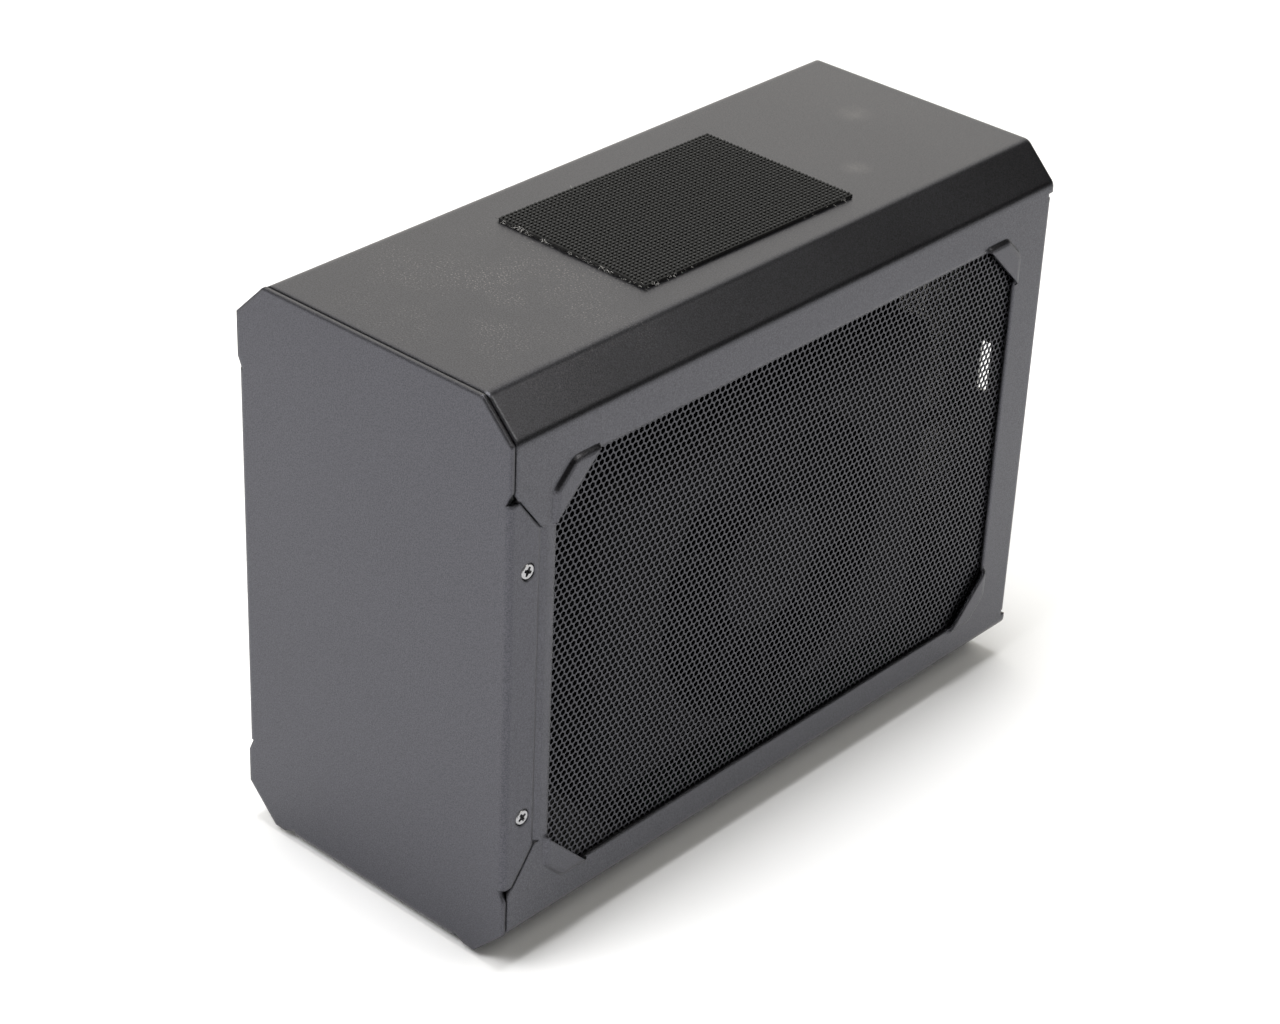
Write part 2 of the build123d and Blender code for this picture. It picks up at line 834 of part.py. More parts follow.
with BuildPart() as dvi_socket:
    dvi_z = card_bottom + dvi_up
    dvi_x = card_face + dvi_height / 2
    dvi_rear = y_rear + rear_projection
    block(
        (card_face, bracket_inside - dvi_depth, dvi_z - dvi_length / 2),
        (card_face + dvi_height, bracket_inside, dvi_z + dvi_length / 2),
    )
    with BuildSketch(front_plane(bracket_inside)):
        with Locations((dvi_x, dvi_z)):
            Rectangle(dvi_shell_height, dvi_shell_length)
    extrude(amount=bracket_inside - dvi_rear)
    with BuildSketch(front_plane(dvi_rear)):
        with Locations((dvi_x, dvi_z)):
            Rectangle(dvi_shell_height - 2 * dvi_shell_wall, dvi_shell_length - 2 * dvi_shell_wall)
    extrude(amount=dvi_recess, mode=Mode.SUBTRACT)
dvi_socket.part.label = "dvi_socket"
export_step(dvi_socket.part, "parts/dvi_socket.step")

with BuildPart() as hdmi_socket:
    video_socket(card_bottom + hdmi_up, hdmi_length, hdmi_height)
hdmi_socket.part.label = "hdmi_socket"
export_step(hdmi_socket.part, "parts/hdmi_socket.step")

with BuildPart() as displayport_sockets:
    for place in range(dp_count):
        video_socket(card_bottom + dp_up + place * dp_pitch, dp_length, dp_height)
displayport_sockets.part.label = "displayport_sockets"
export_step(displayport_sockets.part, "parts/displayport_sockets.step")

with BuildPart() as card_power_socket:
    block(
        (card_face, card_power_mouth, card_power_z - socket_length / 2),
        (card_face + socket_height, card_power_mouth + socket_depth, card_power_z + socket_length / 2),
    )
    chamfer(faces().sort_by(Axis.X)[-1].edges(), socket_edge)
card_power_socket.part.label = "card_power_socket"
export_step(card_power_socket.part, "parts/card_power_socket.step")

# Cooler: extruded heatsink, fan on its mount, and shroud on four posts
with BuildPart() as card_heatsink:
    base_x = card_face + chip_gap
    with Locations((base_x, cooler_y, cooler_z)):
        Box(heatsink_base, heatsink_length, heatsink_height, align=(Align.MIN, Align.CENTER, Align.CENTER))
    with BuildSketch(side_plane(base_x + heatsink_base)):
        with Locations((cooler_y, cooler_z)):
            with GridLocations((heatsink_length - fin_thickness) / (fin_count - 1), 0, fin_count, 1):
                Rectangle(fin_thickness, heatsink_height)
    extrude(amount=fin_height)
card_heatsink.part.label = "card_heatsink"
export_step(card_heatsink.part, "parts/card_heatsink.step")

card_fan_plane = Plane((fin_tip, cooler_y, cooler_z), x_dir=(0, 1, 0), z_dir=(1, 0, 0))
with BuildPart() as card_fan_mount:
    with BuildSketch(card_fan_plane):
        Circle(card_hub_radius)
        with PolarLocations(card_arm_length / 2, 3):
            Rectangle(card_arm_length, card_arm_width)
        Circle(shaft_radius + shaft_clearance, mode=Mode.SUBTRACT)
    extrude(amount=card_mount_thickness)
card_fan_mount.part.label = "card_fan_mount"
export_step(card_fan_mount.part, "parts/card_fan_mount.step")

with BuildPart() as card_fan:
    impeller(
        card_fan_plane,
        card_mount_thickness,
        cooler_face - fin_tip,
        card_hub_radius,
        card_fan_radius,
        card_blade_count,
        card_blade_chord,
    )
card_fan.part.label = "card_fan"
export_step(card_fan.part, "parts/card_fan.step")

with BuildPart() as card_shroud:
    half_length = shroud_length / 2
    half_height = shroud_height / 2
    shroud_low = cooler_face - shroud_depth
    shroud_ceiling = cooler_face - shroud_edge - shroud_wall
    inner_length = half_length - shroud_wall
    inner_height = half_height - shroud_wall
    block(
        (shroud_low, cooler_y - half_length, cooler_z - half_height),
        (cooler_face, cooler_y + half_length, cooler_z + half_height),
    )
    chamfer(faces().sort_by(Axis.X)[-1].edges(), shroud_edge)
    block(
        (shroud_low, cooler_y - inner_length, cooler_z - inner_height),
        (shroud_ceiling, cooler_y + inner_length, cooler_z + inner_height),
        mode=Mode.SUBTRACT,
    )
    with BuildSketch(side_plane(shroud_low)):
        with Locations((cooler_y, cooler_z)):
            Circle(card_fan_radius + shroud_clearance)
    extrude(amount=shroud_depth, mode=Mode.SUBTRACT)
    for end_y in (-1, 1):
        for end_z in (-1, 1):
            corner_y = cooler_y + end_y * half_length
            corner_z = cooler_z + end_z * half_height
            block(
                (card_face, corner_y, corner_z),
                (shroud_ceiling, corner_y - end_y * shroud_post, corner_z - end_z * shroud_post),
            )
card_shroud.part.label = "card_shroud"
export_step(card_shroud.part, "parts/card_shroud.step")

# Power supply: hollow case with fan slots and an inlet at the back
psu_x = (psu_left + psu_right) / 2
psu_fan_z = psu_bottom + psu_wall + fan_size / 2
inlet_z = psu_top - inlet_from_top
with BuildPart() as psu_case:
    block((psu_left, psu_front, psu_bottom), (psu_right, panel_inside, psu_top))
    block(
        (psu_left + psu_wall, psu_front + psu_wall, psu_bottom + psu_wall),
        (psu_right - psu_wall, panel_inside - psu_wall, psu_top - psu_wall),
        mode=Mode.SUBTRACT,
    )
    with BuildSketch(front_plane(panel_inside)):
        for row in range(psu_slot_count):
            level = (row - (psu_slot_count - 1) / 2) * psu_slot_pitch
            chord_half = sqrt((fan_size / 2 - fan_wall) ** 2 - (abs(level) + psu_slot_width / 2) ** 2)
            with Locations((psu_x, psu_fan_z + level)):
                Rectangle(2 * chord_half, psu_slot_width)
        with Locations((psu_x, inlet_z)):
            Rectangle(inlet_width + 2 * connector_gap, inlet_height + 2 * connector_gap)
    extrude(amount=psu_wall, mode=Mode.SUBTRACT)
psu_case.part.label = "psu_case"
export_step(psu_case.part, "parts/psu_case.step")

# Fan inside the back of the supply
psu_fan_plane = Plane((psu_x, panel_inside - psu_wall, psu_fan_z), x_dir=(1, 0, 0), z_dir=(0, -1, 0))
with BuildPart() as psu_fan_frame:
    fan_frame(psu_fan_plane)
psu_fan_frame.part.label = "psu_fan_frame"
export_step(psu_fan_frame.part, "parts/psu_fan_frame.step")

with BuildPart() as psu_fan:
    impeller(
        psu_fan_plane,
        fan_base,
        fan_depth,
        fan_hub_radius,
        fan_size / 2 - fan_wall - fan_tip_gap,
        fan_blade_count,
        fan_blade_chord,
    )
psu_fan.part.label = "psu_fan"
export_step(psu_fan.part, "parts/psu_fan.step")

with BuildPart() as ac_inlet:
    inlet_floor = panel_inside + inlet_rim - inlet_cavity
    with BuildSketch(front_plane(panel_inside)):
        with Locations((psu_x, inlet_z)):
            Rectangle(inlet_width, inlet_height)
    extrude(amount=inlet_depth)
    with BuildSketch(front_plane(panel_inside)):
        with Locations((psu_x, inlet_z)):
            Rectangle(inlet_width + 2 * inlet_rim, inlet_height + 2 * inlet_rim)
    extrude(amount=-inlet_rim)
    with BuildSketch(front_plane(inlet_floor)):
        with Locations((psu_x, inlet_z)):
            Rectangle(inlet_width - 2 * inlet_wall, inlet_height - 2 * inlet_wall)
        chamfer(vertices().sort_by(Axis.Y)[:2], inlet_corner)
    extrude(amount=-inlet_cavity, mode=Mode.SUBTRACT)
ac_inlet.part.label = "ac_inlet"
export_step(ac_inlet.part, "parts/ac_inlet.step")

with BuildPart() as inlet_pins:
    with BuildSketch(front_plane(inlet_floor)):
        with Locations(
            (psu_x - pin_spacing, inlet_z - pin_offset),
            (psu_x, inlet_z + pin_offset),
            (psu_x + pin_spacing, inlet_z - pin_offset),
        ):
            Rectangle(pin_thickness, pin_width)
    extrude(amount=-pin_length)
inlet_pins.part.label = "inlet_pins"
export_step(inlet_pins.part, "parts/inlet_pins.step")

# Power leads from the supply to the card and to the main board, with cut corners at their bends
card_lead_x = psu_right - card_lead_from_wall
card_socket_x = card_face + socket_height / 2
card_turn_y = card_power_mouth - card_lead_run
board_lead_z = psu_bottom + board_lead_up
board_socket_z = board_top + socket_height / 2
board_turn_y = min(psu_front, board_front) - board_lead_run
lead_routes = {
    "card_power_lead": [
        (card_lead_x, psu_front, card_power_z),
        (card_lead_x, card_turn_y + lead_bend, card_power_z),
        (card_lead_x + lead_bend, card_turn_y, card_power_z),
        (card_socket_x - lead_bend, card_turn_y, card_power_z),
        (card_socket_x, card_turn_y + lead_bend, card_power_z),
        (card_socket_x, card_power_mouth, card_power_z),
    ],
    "board_power_lead": [
        (board_socket_x, psu_front, board_lead_z),
        (board_socket_x, board_turn_y + lead_bend, board_lead_z),
        (board_socket_x, board_turn_y, board_lead_z - lead_bend),
        (board_socket_x, board_turn_y, board_socket_z + lead_bend),
        (board_socket_x, board_turn_y + lead_bend, board_socket_z),
        (board_socket_x, board_front, board_socket_z),
    ],
}
for lead_name, route in lead_routes.items():
    start_x, start_y, start_z = route[0]
    with BuildPart() as lead:
        with BuildLine():
            Polyline(route)
        with BuildSketch(front_plane(start_y)):
            with Locations((start_x, start_z)):
                RegularPolygon(lead_radius, 8)
        sweep(transition=Transition.RIGHT)
    lead.part.label = lead_name
    export_step(lead.part, f"parts/{lead_name}.step")
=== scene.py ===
import math
import random

import bpy
from mathutils import Euler, Matrix, Vector
from mathutils.geometry import tessellate_polygon


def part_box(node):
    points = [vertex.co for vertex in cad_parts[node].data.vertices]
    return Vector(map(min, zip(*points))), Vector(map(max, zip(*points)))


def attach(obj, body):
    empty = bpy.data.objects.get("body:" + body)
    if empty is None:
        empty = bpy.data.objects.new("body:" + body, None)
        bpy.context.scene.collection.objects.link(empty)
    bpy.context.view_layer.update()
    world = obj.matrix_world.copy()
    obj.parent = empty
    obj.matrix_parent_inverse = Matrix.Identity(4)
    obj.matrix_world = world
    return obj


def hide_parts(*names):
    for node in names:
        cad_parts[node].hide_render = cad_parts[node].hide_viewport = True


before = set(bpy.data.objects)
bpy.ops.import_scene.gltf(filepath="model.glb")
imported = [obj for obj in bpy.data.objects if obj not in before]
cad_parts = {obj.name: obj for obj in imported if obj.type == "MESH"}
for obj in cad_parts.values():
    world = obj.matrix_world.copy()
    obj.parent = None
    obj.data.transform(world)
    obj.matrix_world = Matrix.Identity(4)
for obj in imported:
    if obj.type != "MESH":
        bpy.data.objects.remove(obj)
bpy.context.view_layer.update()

MM = 0.001
BODY = "case"

# Camera: where it stands, the way it looks, and its lens for a frame 1280 wide and 1024 high
CAMERA_PLACE = (0.4771, -0.5536, 0.5073)
CAMERA_AZIMUTH = 41.11
CAMERA_ELEVATION = 30.84
CAMERA_ROLL = 2.58
CAMERA_LENS = 88.48
CAMERA_SENSOR = 36.0

# Light: a softbox in front and above and one overhead, in a room with a bright corner behind on the left,
# a dark side on the right, and a bright place high in that dark side
ROOM_COLOR = (1.0, 0.975, 0.9)
ROOM_LEVEL = 0.28
LEFT_LEVEL = 1.25
LEFT_SIDE = (-0.75, 0.5, 0.43)
LEFT_ANGLES = (28.0, 55.0)
DARK_LEVEL = 0.03
DARK_SIDE = (0.85, 0.25, 0.3)
DARK_ANGLES = (58.0, 80.0)
PLACE_LEVEL = 4.4
PLACE_SIDE = (0.54, 0.37, 0.755)
PLACE_ANGLES = (6.0, 16.0)
KEY_PLACE = (-0.2, -0.85, 1.3)
KEY_SIZE = 0.7
KEY_POWER = 14.0
FILL_PLACE = (-0.02, -0.02, 1.9)
FILL_SIZE = 0.6
FILL_POWER = 24.0
LAMP_TARGET = (0.0, 0.0, 0.05)
FLOOR_COLOR = (0.93, 0.93, 0.935)
FLOOR_GLOW = 0.03
FLOOR_HALF = 12.0

# Where a grain's colour starts to go from dark to pale, and where it ends
GRAIN_STOPS = (0.3, 0.7)

# Powder coat: sizes of its grain and clouds, shades and height of the grain, and the clouds' roughness
COAT_GRAIN = 0.35 * MM
COAT_CLOUD = 40.0 * MM
COAT_SHADES = (0.7, 1.3)
COAT_BUMP = 0.028 * MM
COAT_ROUGH = 0.05

# Rounding that the coat gives to the folded sheets' edges
EDGE_RADIUS = 1.4 * MM
EDGE_SAMPLES = 6

# Dust on the top, in metres: a drift of specks near the front, and two rubbed places behind
DUST_PLACE = (0.002, -0.064, 0.162)
DUST_RADIUS = 0.06
DUST_SPECK = 0.5 * MM
DUST_SPECK_STOPS = (0.62, 0.69)
DUST_DRIFT = 14.0 * MM
DUST_DRIFT_STOPS = (0.4, 0.62)
DUST_COLOR = (0.45, 0.42, 0.4)
DUST_SHARE = 0.45
RUBS = (((-0.006, 0.081, 0.162), 0.007), ((0.017, 0.054, 0.162), 0.006))
RUB_GRAIN = 3.0 * MM
RUB_SHARE = 0.3

# Brushed metal, moulded plastic and circuit boards
BRUSH_LINE = 0.4 * MM
BRUSH_SHADE = 0.85
BRUSH_SMOOTHER = 0.1
BRUSH_ROUGHER = 0.12
BRUSH_BUMP = 0.01 * MM
MOULD_GRAIN = 0.5 * MM
MOULD_SHADE = 0.75
MOULD_ROUGH = 0.08
MOULD_BUMP = 0.03 * MM
SLEEVE_GRAIN = 0.8 * MM
MASK_COLOR = (0.006, 0.018, 0.012)
TRACK_COLOR = (0.02, 0.05, 0.03)
TRACK_CELL = 3.0 * MM
TRACK_STOPS = (0.3, 0.36)
TRACK_BUMP = 0.03 * MM

# Hexagon mesh in the side windows
HEX_PITCH = 1.97 * MM
HEX_WEB = 0.46 * MM
HEX_DEPTH = 0.4 * MM
HEX_BORDER = 0.6 * MM
HEX_RIM = 1.9 * MM
HEX_RIM_INSET = 0.1 * MM

# Hook tape: the rings of a hook are its radius in millimetres at shares of its height, and the painted shades
# of the tape are greys at shares of the whole height: painted shade on the tape between the hooks and low on
# its sides, painted light on the hooks' heads and along the top of the tape's sides
PATCH_WIDTH = 51.0 * MM
PATCH_LENGTH = 78.0 * MM
PATCH_TURN = -1.1
PATCH_TAPE = 0.85 * MM
PATCH_HEIGHT = 1.5 * MM
HOOK_PITCH = 1.205 * MM
HOOK_ROW = 1.437 * MM
HOOK_SIDES = 8
HOOK_RINGS = ((0.24, 0.0), (0.26, 0.3), (0.37, 0.55), (0.37, 0.75), (0.22, 1.0))
HOOK_LONG = 1.35
HOOK_LEAN = 0.14 * MM
HOOK_TALL = (0.92, 1.0)
HOOK_SWAY = (-0.4, 0.4)
HOOK_TILT = (0.6, 1.0)
HOOK_SEED = 4
HOOK_PAINTED_SHADES = ((0.0, 0.008), (0.5, 0.025), (0.56, 0.003), (0.78, 0.006), (0.94, 0.045))
FIBRE_SIZE = 0.5 * MM
FIBRE_COLOR = (0.02, 0.02, 0.019)
FIBRE_BUMP = 0.04 * MM

# Loose threads at the tape's edges, with steps and heights in millimetres: the shares of the edges count up
# over front, right at the front, right at the back and back, the rest is left, and tufts lie along the front
THREADS = 240
THREAD_SEED = 11
THREAD_EDGES = (0.68, 0.8, 0.9, 0.95)
THREAD_TUFTS = (-0.85, -0.6, -0.5, -0.1, 0.15, 0.35, 0.55, 0.8)
THREAD_SPREADS = (0.16, 0.25, 0.2)
THREAD_LEFT = (-1.0, 0.2)
THREAD_OFF = (-0.2, 0.5)
THREAD_START = (0.1, 0.9)
THREAD_POINTS = 5
THREAD_TURN = (-0.9, 0.9)
THREAD_STEP = (0.15, 0.45)
THREAD_FLAT = 0.5
THREAD_CLIMB = (-0.3, 0.25)
THREAD_LOW = 0.06 * MM
THREAD_LINT = 3.0 * MM
THREAD_WIRE = 0.08 * MM
THREAD_SHADES = ((0.42, 0.02), (0.56, 0.5))
THREAD_TINT = (1.0, 0.98, 0.94)

# Pressed pads at the window's corners: their outline, and a rounded wall from its foot up to the pad's face,
# as reach inwards and rise in millimetres
GRILLE_LAP = 2.0 * MM
WINDOW_CORNER = 13.4 * MM
PAD_MARGIN = 0.9 * MM
PAD_CORNER = 6.5 * MM
PAD_TAIL = 1.0 * MM
PAD_ROUND = 4.0 * MM
PAD_END_ROUND = 0.8 * MM
PAD_END_SHARE = 0.9
PAD_ROUND_LEAST = 0.02 * MM
PAD_ROUND_STEPS = 6
PAD_WALL = (
    (-0.65, -0.02),
    (-0.44, 0.02),
    (-0.25, 0.13),
    (-0.06, 0.38),
    (0.14, 0.65),
    (0.38, 0.86),
    (0.7, 0.97),
    (1.1, 0.99),
)

# Rear: pierced insert and hexagon posts of the video socket, and the screws in the return flanges
INSERT_DEPTH = 0.7 * MM
INSERT_BEVEL = 0.2 * INSERT_DEPTH
INSERT_MOUTH = 1.2 * MM
INSERT_HALF_WIDTH = 3.4 * MM
INSERT_HALF_LENGTH = 11.95 * MM
CONTACT_PITCH = 1.905 * MM
CONTACT_HALF = 0.42 * MM
CONTACT_DEPTH = 0.85 * INSERT_DEPTH
CONTACT_ROWS = 8
CONTACT_COLUMNS = 3
CONTACT_UP = 3.2 * MM
BLADE_DOWN = 8.0 * MM
BLADE_HALF = (0.45 * MM, 2.4 * MM)
POST_RADIUS = 2.1 * MM
POST_TURN = 0.2
POST_HOLE = 1.1 * MM
POST_HOLE_SIDES = 18
POST_HOLE_DEPTH = 3.0 * MM
POST_SPACING = 14.95 * MM
POST_HEIGHT = 4.2 * MM
POST_BEVEL = 0.35 * MM
REAR_SCREW_RADIUS = 1.7 * MM
REAR_SCREW_RISE = 0.6 * MM
REAR_SCREW_SINK = 0.2 * MM
REAR_SCREW_INSET = 3.1 * MM
REAR_SCREW_STEP = 52.0 * MM
REAR_SCREW_TURNS = (0.4, 0.7)

# Inner power leads from the supply to the card and to the main board: route points in millimetres
LEAD_RADIUS = 3.2 * MM
LEAD_ROUND_STEPS = 5
LEAD_LINE_STEPS = 16
LEAD_LINE_ORDER = 3
LEAD_ROUTES = {
    "card_power_lead": [
        (-31.0, -49.4, 92.8),
        (-31.0, -95.4, 92.8),
        (8.5, -95.4, 92.8),
        (8.5, -76.4, 92.8),
    ],
    "board_power_lead": [
        (-22.0, -49.4, 84.0),
        (-22.0, -66.0, 84.0),
        (-22.0, -66.0, 15.5),
        (-22.0, -37.7, 15.5),
    ],
}

# Cross-head screws: the arms taper outwards, and the recess tapers down to its floor
SCREW_BEVEL = 0.2 * MM
HEAD_SHARE = 0.93
HEAD_SIDES = 40
HEAD_DEPTH = 1.2 * MM
HEAD_TURNS = (0.5, 0.6)
CROSS_ARM = 1.3 * MM
CROSS_HALF = 0.48 * MM
CROSS_DEPTH = 1.9 * MM
CROSS_TAPER = 0.7
CROSS_FLOOR = 0.8


def link(material, source, target):
    """Link between two sockets of a material or a world."""
    material.node_tree.links.new(source, target)


def make_material(name, color, roughness, metallic=0.0, specular=0.5):
    """Material with a principled shader, given as (material, shader)."""
    material = bpy.data.materials.new(name)
    material.use_nodes = True
    shader = material.node_tree.nodes["Principled BSDF"]
    shader.inputs["Base Color"].default_value = (*color, 1.0)
    shader.inputs["Roughness"].default_value = roughness
    shader.inputs["Metallic"].default_value = metallic
    shader.inputs["Specular IOR Level"].default_value = specular
    return material, shader


def place(material, stretch=(1.0, 1.0, 1.0)):
    """Output socket with the place on the object, in metres, stretched along its axes."""
    nodes = material.node_tree.nodes
    coordinates = nodes.new("ShaderNodeTexCoord")
    mapping = nodes.new("ShaderNodeMapping")
    mapping.inputs["Scale"].default_value = stretch
    link(material, coordinates.outputs["Object"], mapping.inputs["Vector"])
    return mapping.outputs["Vector"]


def noise(material, size, detail=2.0, stretch=(1.0, 1.0, 1.0)):
    """Noise from 0 to 1 with grains of about the given size in metres."""
    texture = material.node_tree.nodes.new("ShaderNodeTexNoise")
    texture.inputs["Scale"].default_value = 1.0 / size
    texture.inputs["Detail"].default_value = detail
    link(material, place(material, stretch), texture.inputs["Vector"])
    return texture.outputs["Fac"]


def ramp(material, value, stops):
    """Colour ramp over a value: stops are (position, colour) pairs."""
    node = material.node_tree.nodes.new("ShaderNodeValToRGB")
    elements = node.color_ramp.elements
    for spare, (position, color) in zip(list(elements), stops):
        spare.position = position
        spare.color = (*color, 1.0)
    for position, color in stops[len(elements):]:
        elements.new(position).color = (*color, 1.0)
    link(material, value, node.inputs["Fac"])
    return node.outputs["Color"]


def math_node(material, operation, first, second):
    """Result of an operation on two sockets or numbers."""
    node = material.node_tree.nodes.new("ShaderNodeMath")
    node.operation = operation
    for value, socket in zip((first, second), node.inputs):
        if isinstance(value, (int, float)):
            socket.default_value = value
        else:
            link(material, value, socket)
    return node.outputs["Value"]


def mix_color(material, factor, first, second):
    """Colour mixed from two sockets or colours by a factor socket."""
    node = material.node_tree.nodes.new("ShaderNodeMix")
    node.data_type = "RGBA"
    link(material, factor, node.inputs["Factor"])
    for value, socket in zip((first, second), (node.inputs[6], node.inputs[7])):
        if isinstance(value, tuple):
            socket.default_value = (*value, 1.0)
        else:
            link(material, value, socket)
    return node.outputs[2]


def bump(material, shader, height, distance):
    """Bump of a height socket, with the given depth in metres."""
    node = material.node_tree.nodes.new("ShaderNodeBump")
    node.inputs["Distance"].default_value = distance
    link(material, height, node.inputs["Height"])
    link(material, node.outputs["Normal"], shader.inputs["Normal"])


def spread(low, high):
    """Two stops of a grey ramp."""
    return [(0.0, (low,) * 3), (1.0, (high,) * 3)]


def two_tone(material, value, stops, dark=(0.0, 0.0, 0.0), pale=(1.0, 1.0, 1.0)):
    """Colour that goes from dark to pale between two stops of a value."""
    return ramp(material, value, list(zip(stops, (dark, pale))))


def blob(material, centre, radius):
    """Soft round patch: 1 at a centre on the object, 0 from the radius on."""
    nodes = material.node_tree.nodes
    coordinates = nodes.new("ShaderNodeTexCoord")
    distance = nodes.new("ShaderNodeVectorMath")
    distance.operation = "DISTANCE"
    distance.inputs[1].default_value = centre
    link(material, coordinates.outputs["Object"], distance.inputs[0])
    fall = nodes.new("ShaderNodeMapRange")
    fall.interpolation_type = "SMOOTHSTEP"
    fall.inputs["From Min"].default_value = radius
    fall.inputs["From Max"].default_value = 0.0
    link(material, distance.outputs["Value"], fall.inputs["Value"])
    return fall.outputs["Result"]


def powder_coat(name, color, roughness):
    """Dark metallic powder coat with a fine grain and faint clouds."""
    material, shader = make_material(name, color, roughness, metallic=1.0)
    grain = noise(material, COAT_GRAIN, detail=3.0)
    dark, pale = (tuple(shade * c for c in color) for shade in COAT_SHADES)
    link(material, two_tone(material, grain, GRAIN_STOPS, dark, pale), shader.inputs["Base Color"])
    cloud = noise(material, COAT_CLOUD, detail=4.0)
    rough = ramp(material, cloud, spread(roughness - COAT_ROUGH, roughness + COAT_ROUGH))
    link(material, rough, shader.inputs["Roughness"])
    bump(material, shader, grain, COAT_BUMP)
    return material


def worn_edges(material, radius):
    """Edges that shade as rounded by the radius under the coat's grain."""
    nodes = material.node_tree.nodes
    grain = nodes["Principled BSDF"].inputs["Normal"].links[0].from_node
    bevel = nodes.new("ShaderNodeBevel")
    bevel.samples = EDGE_SAMPLES
    bevel.inputs["Radius"].default_value = radius
    link(material, bevel.outputs["Normal"], grain.inputs["Normal"])


def dusty_coat(name, color, roughness):
    """The shell's coat: as the rest, with dust near the front of the top and two rubbed places behind."""
    material = powder_coat(name, color, roughness)
    shader = material.node_tree.nodes["Principled BSDF"]
    base = shader.inputs["Base Color"].links[0].from_socket
    specks = two_tone(material, noise(material, DUST_SPECK, detail=1.0), DUST_SPECK_STOPS)
    drift = two_tone(material, noise(material, DUST_DRIFT, detail=2.0), DUST_DRIFT_STOPS)
    specks = math_node(material, "MULTIPLY", specks, drift)
    dust = math_node(material, "MULTIPLY", specks, blob(material, DUST_PLACE, DUST_RADIUS))
    for centre, radius in RUBS:
        patchy = math_node(material, "MULTIPLY", blob(material, centre, radius), noise(material, RUB_GRAIN))
        dust = math_node(material, "MAXIMUM", dust, math_node(material, "MULTIPLY", patchy, RUB_SHARE))
    dust = math_node(material, "MULTIPLY", dust, DUST_SHARE)
    link(material, mix_color(material, dust, base, DUST_COLOR), shader.inputs["Base Color"])
    link(material, math_node(material, "SUBTRACT", 1.0, dust), shader.inputs["Metallic"])
    rough = shader.inputs["Roughness"].links[0].from_socket
    link(material, math_node(material, "MAXIMUM", rough, dust), shader.inputs["Roughness"])
    return material


def brushed_metal(name, color, roughness, stretch):
    """Plated or brushed metal with fine lines along one axis."""
    material, shader = make_material(name, color, roughness, metallic=1.0)
    lines = noise(material, BRUSH_LINE, detail=3.0, stretch=stretch)
    rough = ramp(material, lines, spread(roughness - BRUSH_SMOOTHER, roughness + BRUSH_ROUGHER))
    link(material, rough, shader.inputs["Roughness"])
    dark = tuple(BRUSH_SHADE * c for c in color)
    link(material, two_tone(material, lines, GRAIN_STOPS, dark, color), shader.inputs["Base Color"])
    bump(material, shader, lines, BRUSH_BUMP)
    return material


def moulded_plastic(name, color, roughness, grain_size=MOULD_GRAIN, specular=0.5):
    """Moulded plastic with a fine spark-eroded grain."""
    material, shader = make_material(name, color, roughness, specular=specular)
    grain = noise(material, grain_size, detail=3.0)
    dark = tuple(MOULD_SHADE * c for c in color)
    link(material, two_tone(material, grain, GRAIN_STOPS, dark, color), shader.inputs["Base Color"])
    rough = ramp(material, grain, spread(roughness - MOULD_ROUGH, roughness + MOULD_ROUGH))
    link(material, rough, shader.inputs["Roughness"])
    bump(material, shader, grain, MOULD_BUMP)
    return material


def circuit_board(name):
    """Solder mask over copper tracks: a cell pattern of lines, slightly raised and paler."""
    material, shader = make_material(name, MASK_COLOR, roughness=0.35)
    cells = material.node_tree.nodes.new("ShaderNodeTexVoronoi")
    cells.distance = "CHEBYCHEV"
    cells.inputs["Scale"].default_value = 1.0 / TRACK_CELL
    link(material, place(material), cells.inputs["Vector"])
    tracks = two_tone(material, cells.outputs["Distance"], TRACK_STOPS, MASK_COLOR, TRACK_COLOR)
    link(material, tracks, shader.inputs["Base Color"])
    bump(material, shader, cells.outputs["Distance"], TRACK_BUMP)
    return material


def hook_nylon(name):
    """Nylon tape with hooks, coloured by height: painted shade, black, between the hooks; painted light, dark
    grey, on their heads and along the tape's edge.
    """
    material, shader = make_material(name, color=(0.05, 0.05, 0.05), roughness=0.7, specular=0.3)
    axes = material.node_tree.nodes.new("ShaderNodeSeparateXYZ")
    link(material, place(material), axes.inputs["Vector"])
    level = material.node_tree.nodes.new("ShaderNodeMapRange")
    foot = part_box("hook_patch")[0][2]
    level.inputs["From Min"].default_value = foot
    level.inputs["From Max"].default_value = foot + PATCH_HEIGHT
    link(material, axes.outputs["Z"], level.inputs["Value"])
    # Colour by height: painted shade low between the hooks, painted light on the hooks' heads and the tape's
    # edge
    shades = ramp(material, level.outputs["Result"], [(at, (grey,) * 3) for at, grey in HOOK_PAINTED_SHADES])
    fibres = noise(material, FIBRE_SIZE, detail=3.0)
    link(material, mix_color(material, fibres, shades, FIBRE_COLOR), shader.inputs["Base Color"])
    bump(material, shader, fibres, FIBRE_BUMP)
    return material


def loose_thread(name):
    """Fuzz at a cut edge: black fibres in some places, pale lint in others."""
    material, shader = make_material(name, color=(0.3, 0.3, 0.3), roughness=0.8, specular=0.2)
    lint = noise(material, THREAD_LINT, detail=3.0)
    shades = ramp(material, lint, [(at, tuple(t * grey for t in THREAD_TINT)) for at, grey in THREAD_SHADES])
    link(material, shades, shader.inputs["Base Color"])
    return material


def paper(name):
    """White paper that keeps its shadows, and looks a little brighter to the camera and in reflections."""
    material, shader = make_material(name, FLOOR_COLOR, roughness=0.9, specular=0.1)
    path = material.node_tree.nodes.new("ShaderNodeLightPath")
    seen = math_node(material, "MAXIMUM", path.outputs["Is Camera Ray"], path.outputs["Is Glossy Ray"])
    seen = math_node(material, "MAXIMUM", seen, path.outputs["Is Transmission Ray"])
    shader.inputs["Emission Color"].default_value = (1.0, 1.0, 1.0, 1.0)
    link(material, math_node(material, "MULTIPLY", seen, FLOOR_GLOW), shader.inputs["Emission Strength"])
    return material


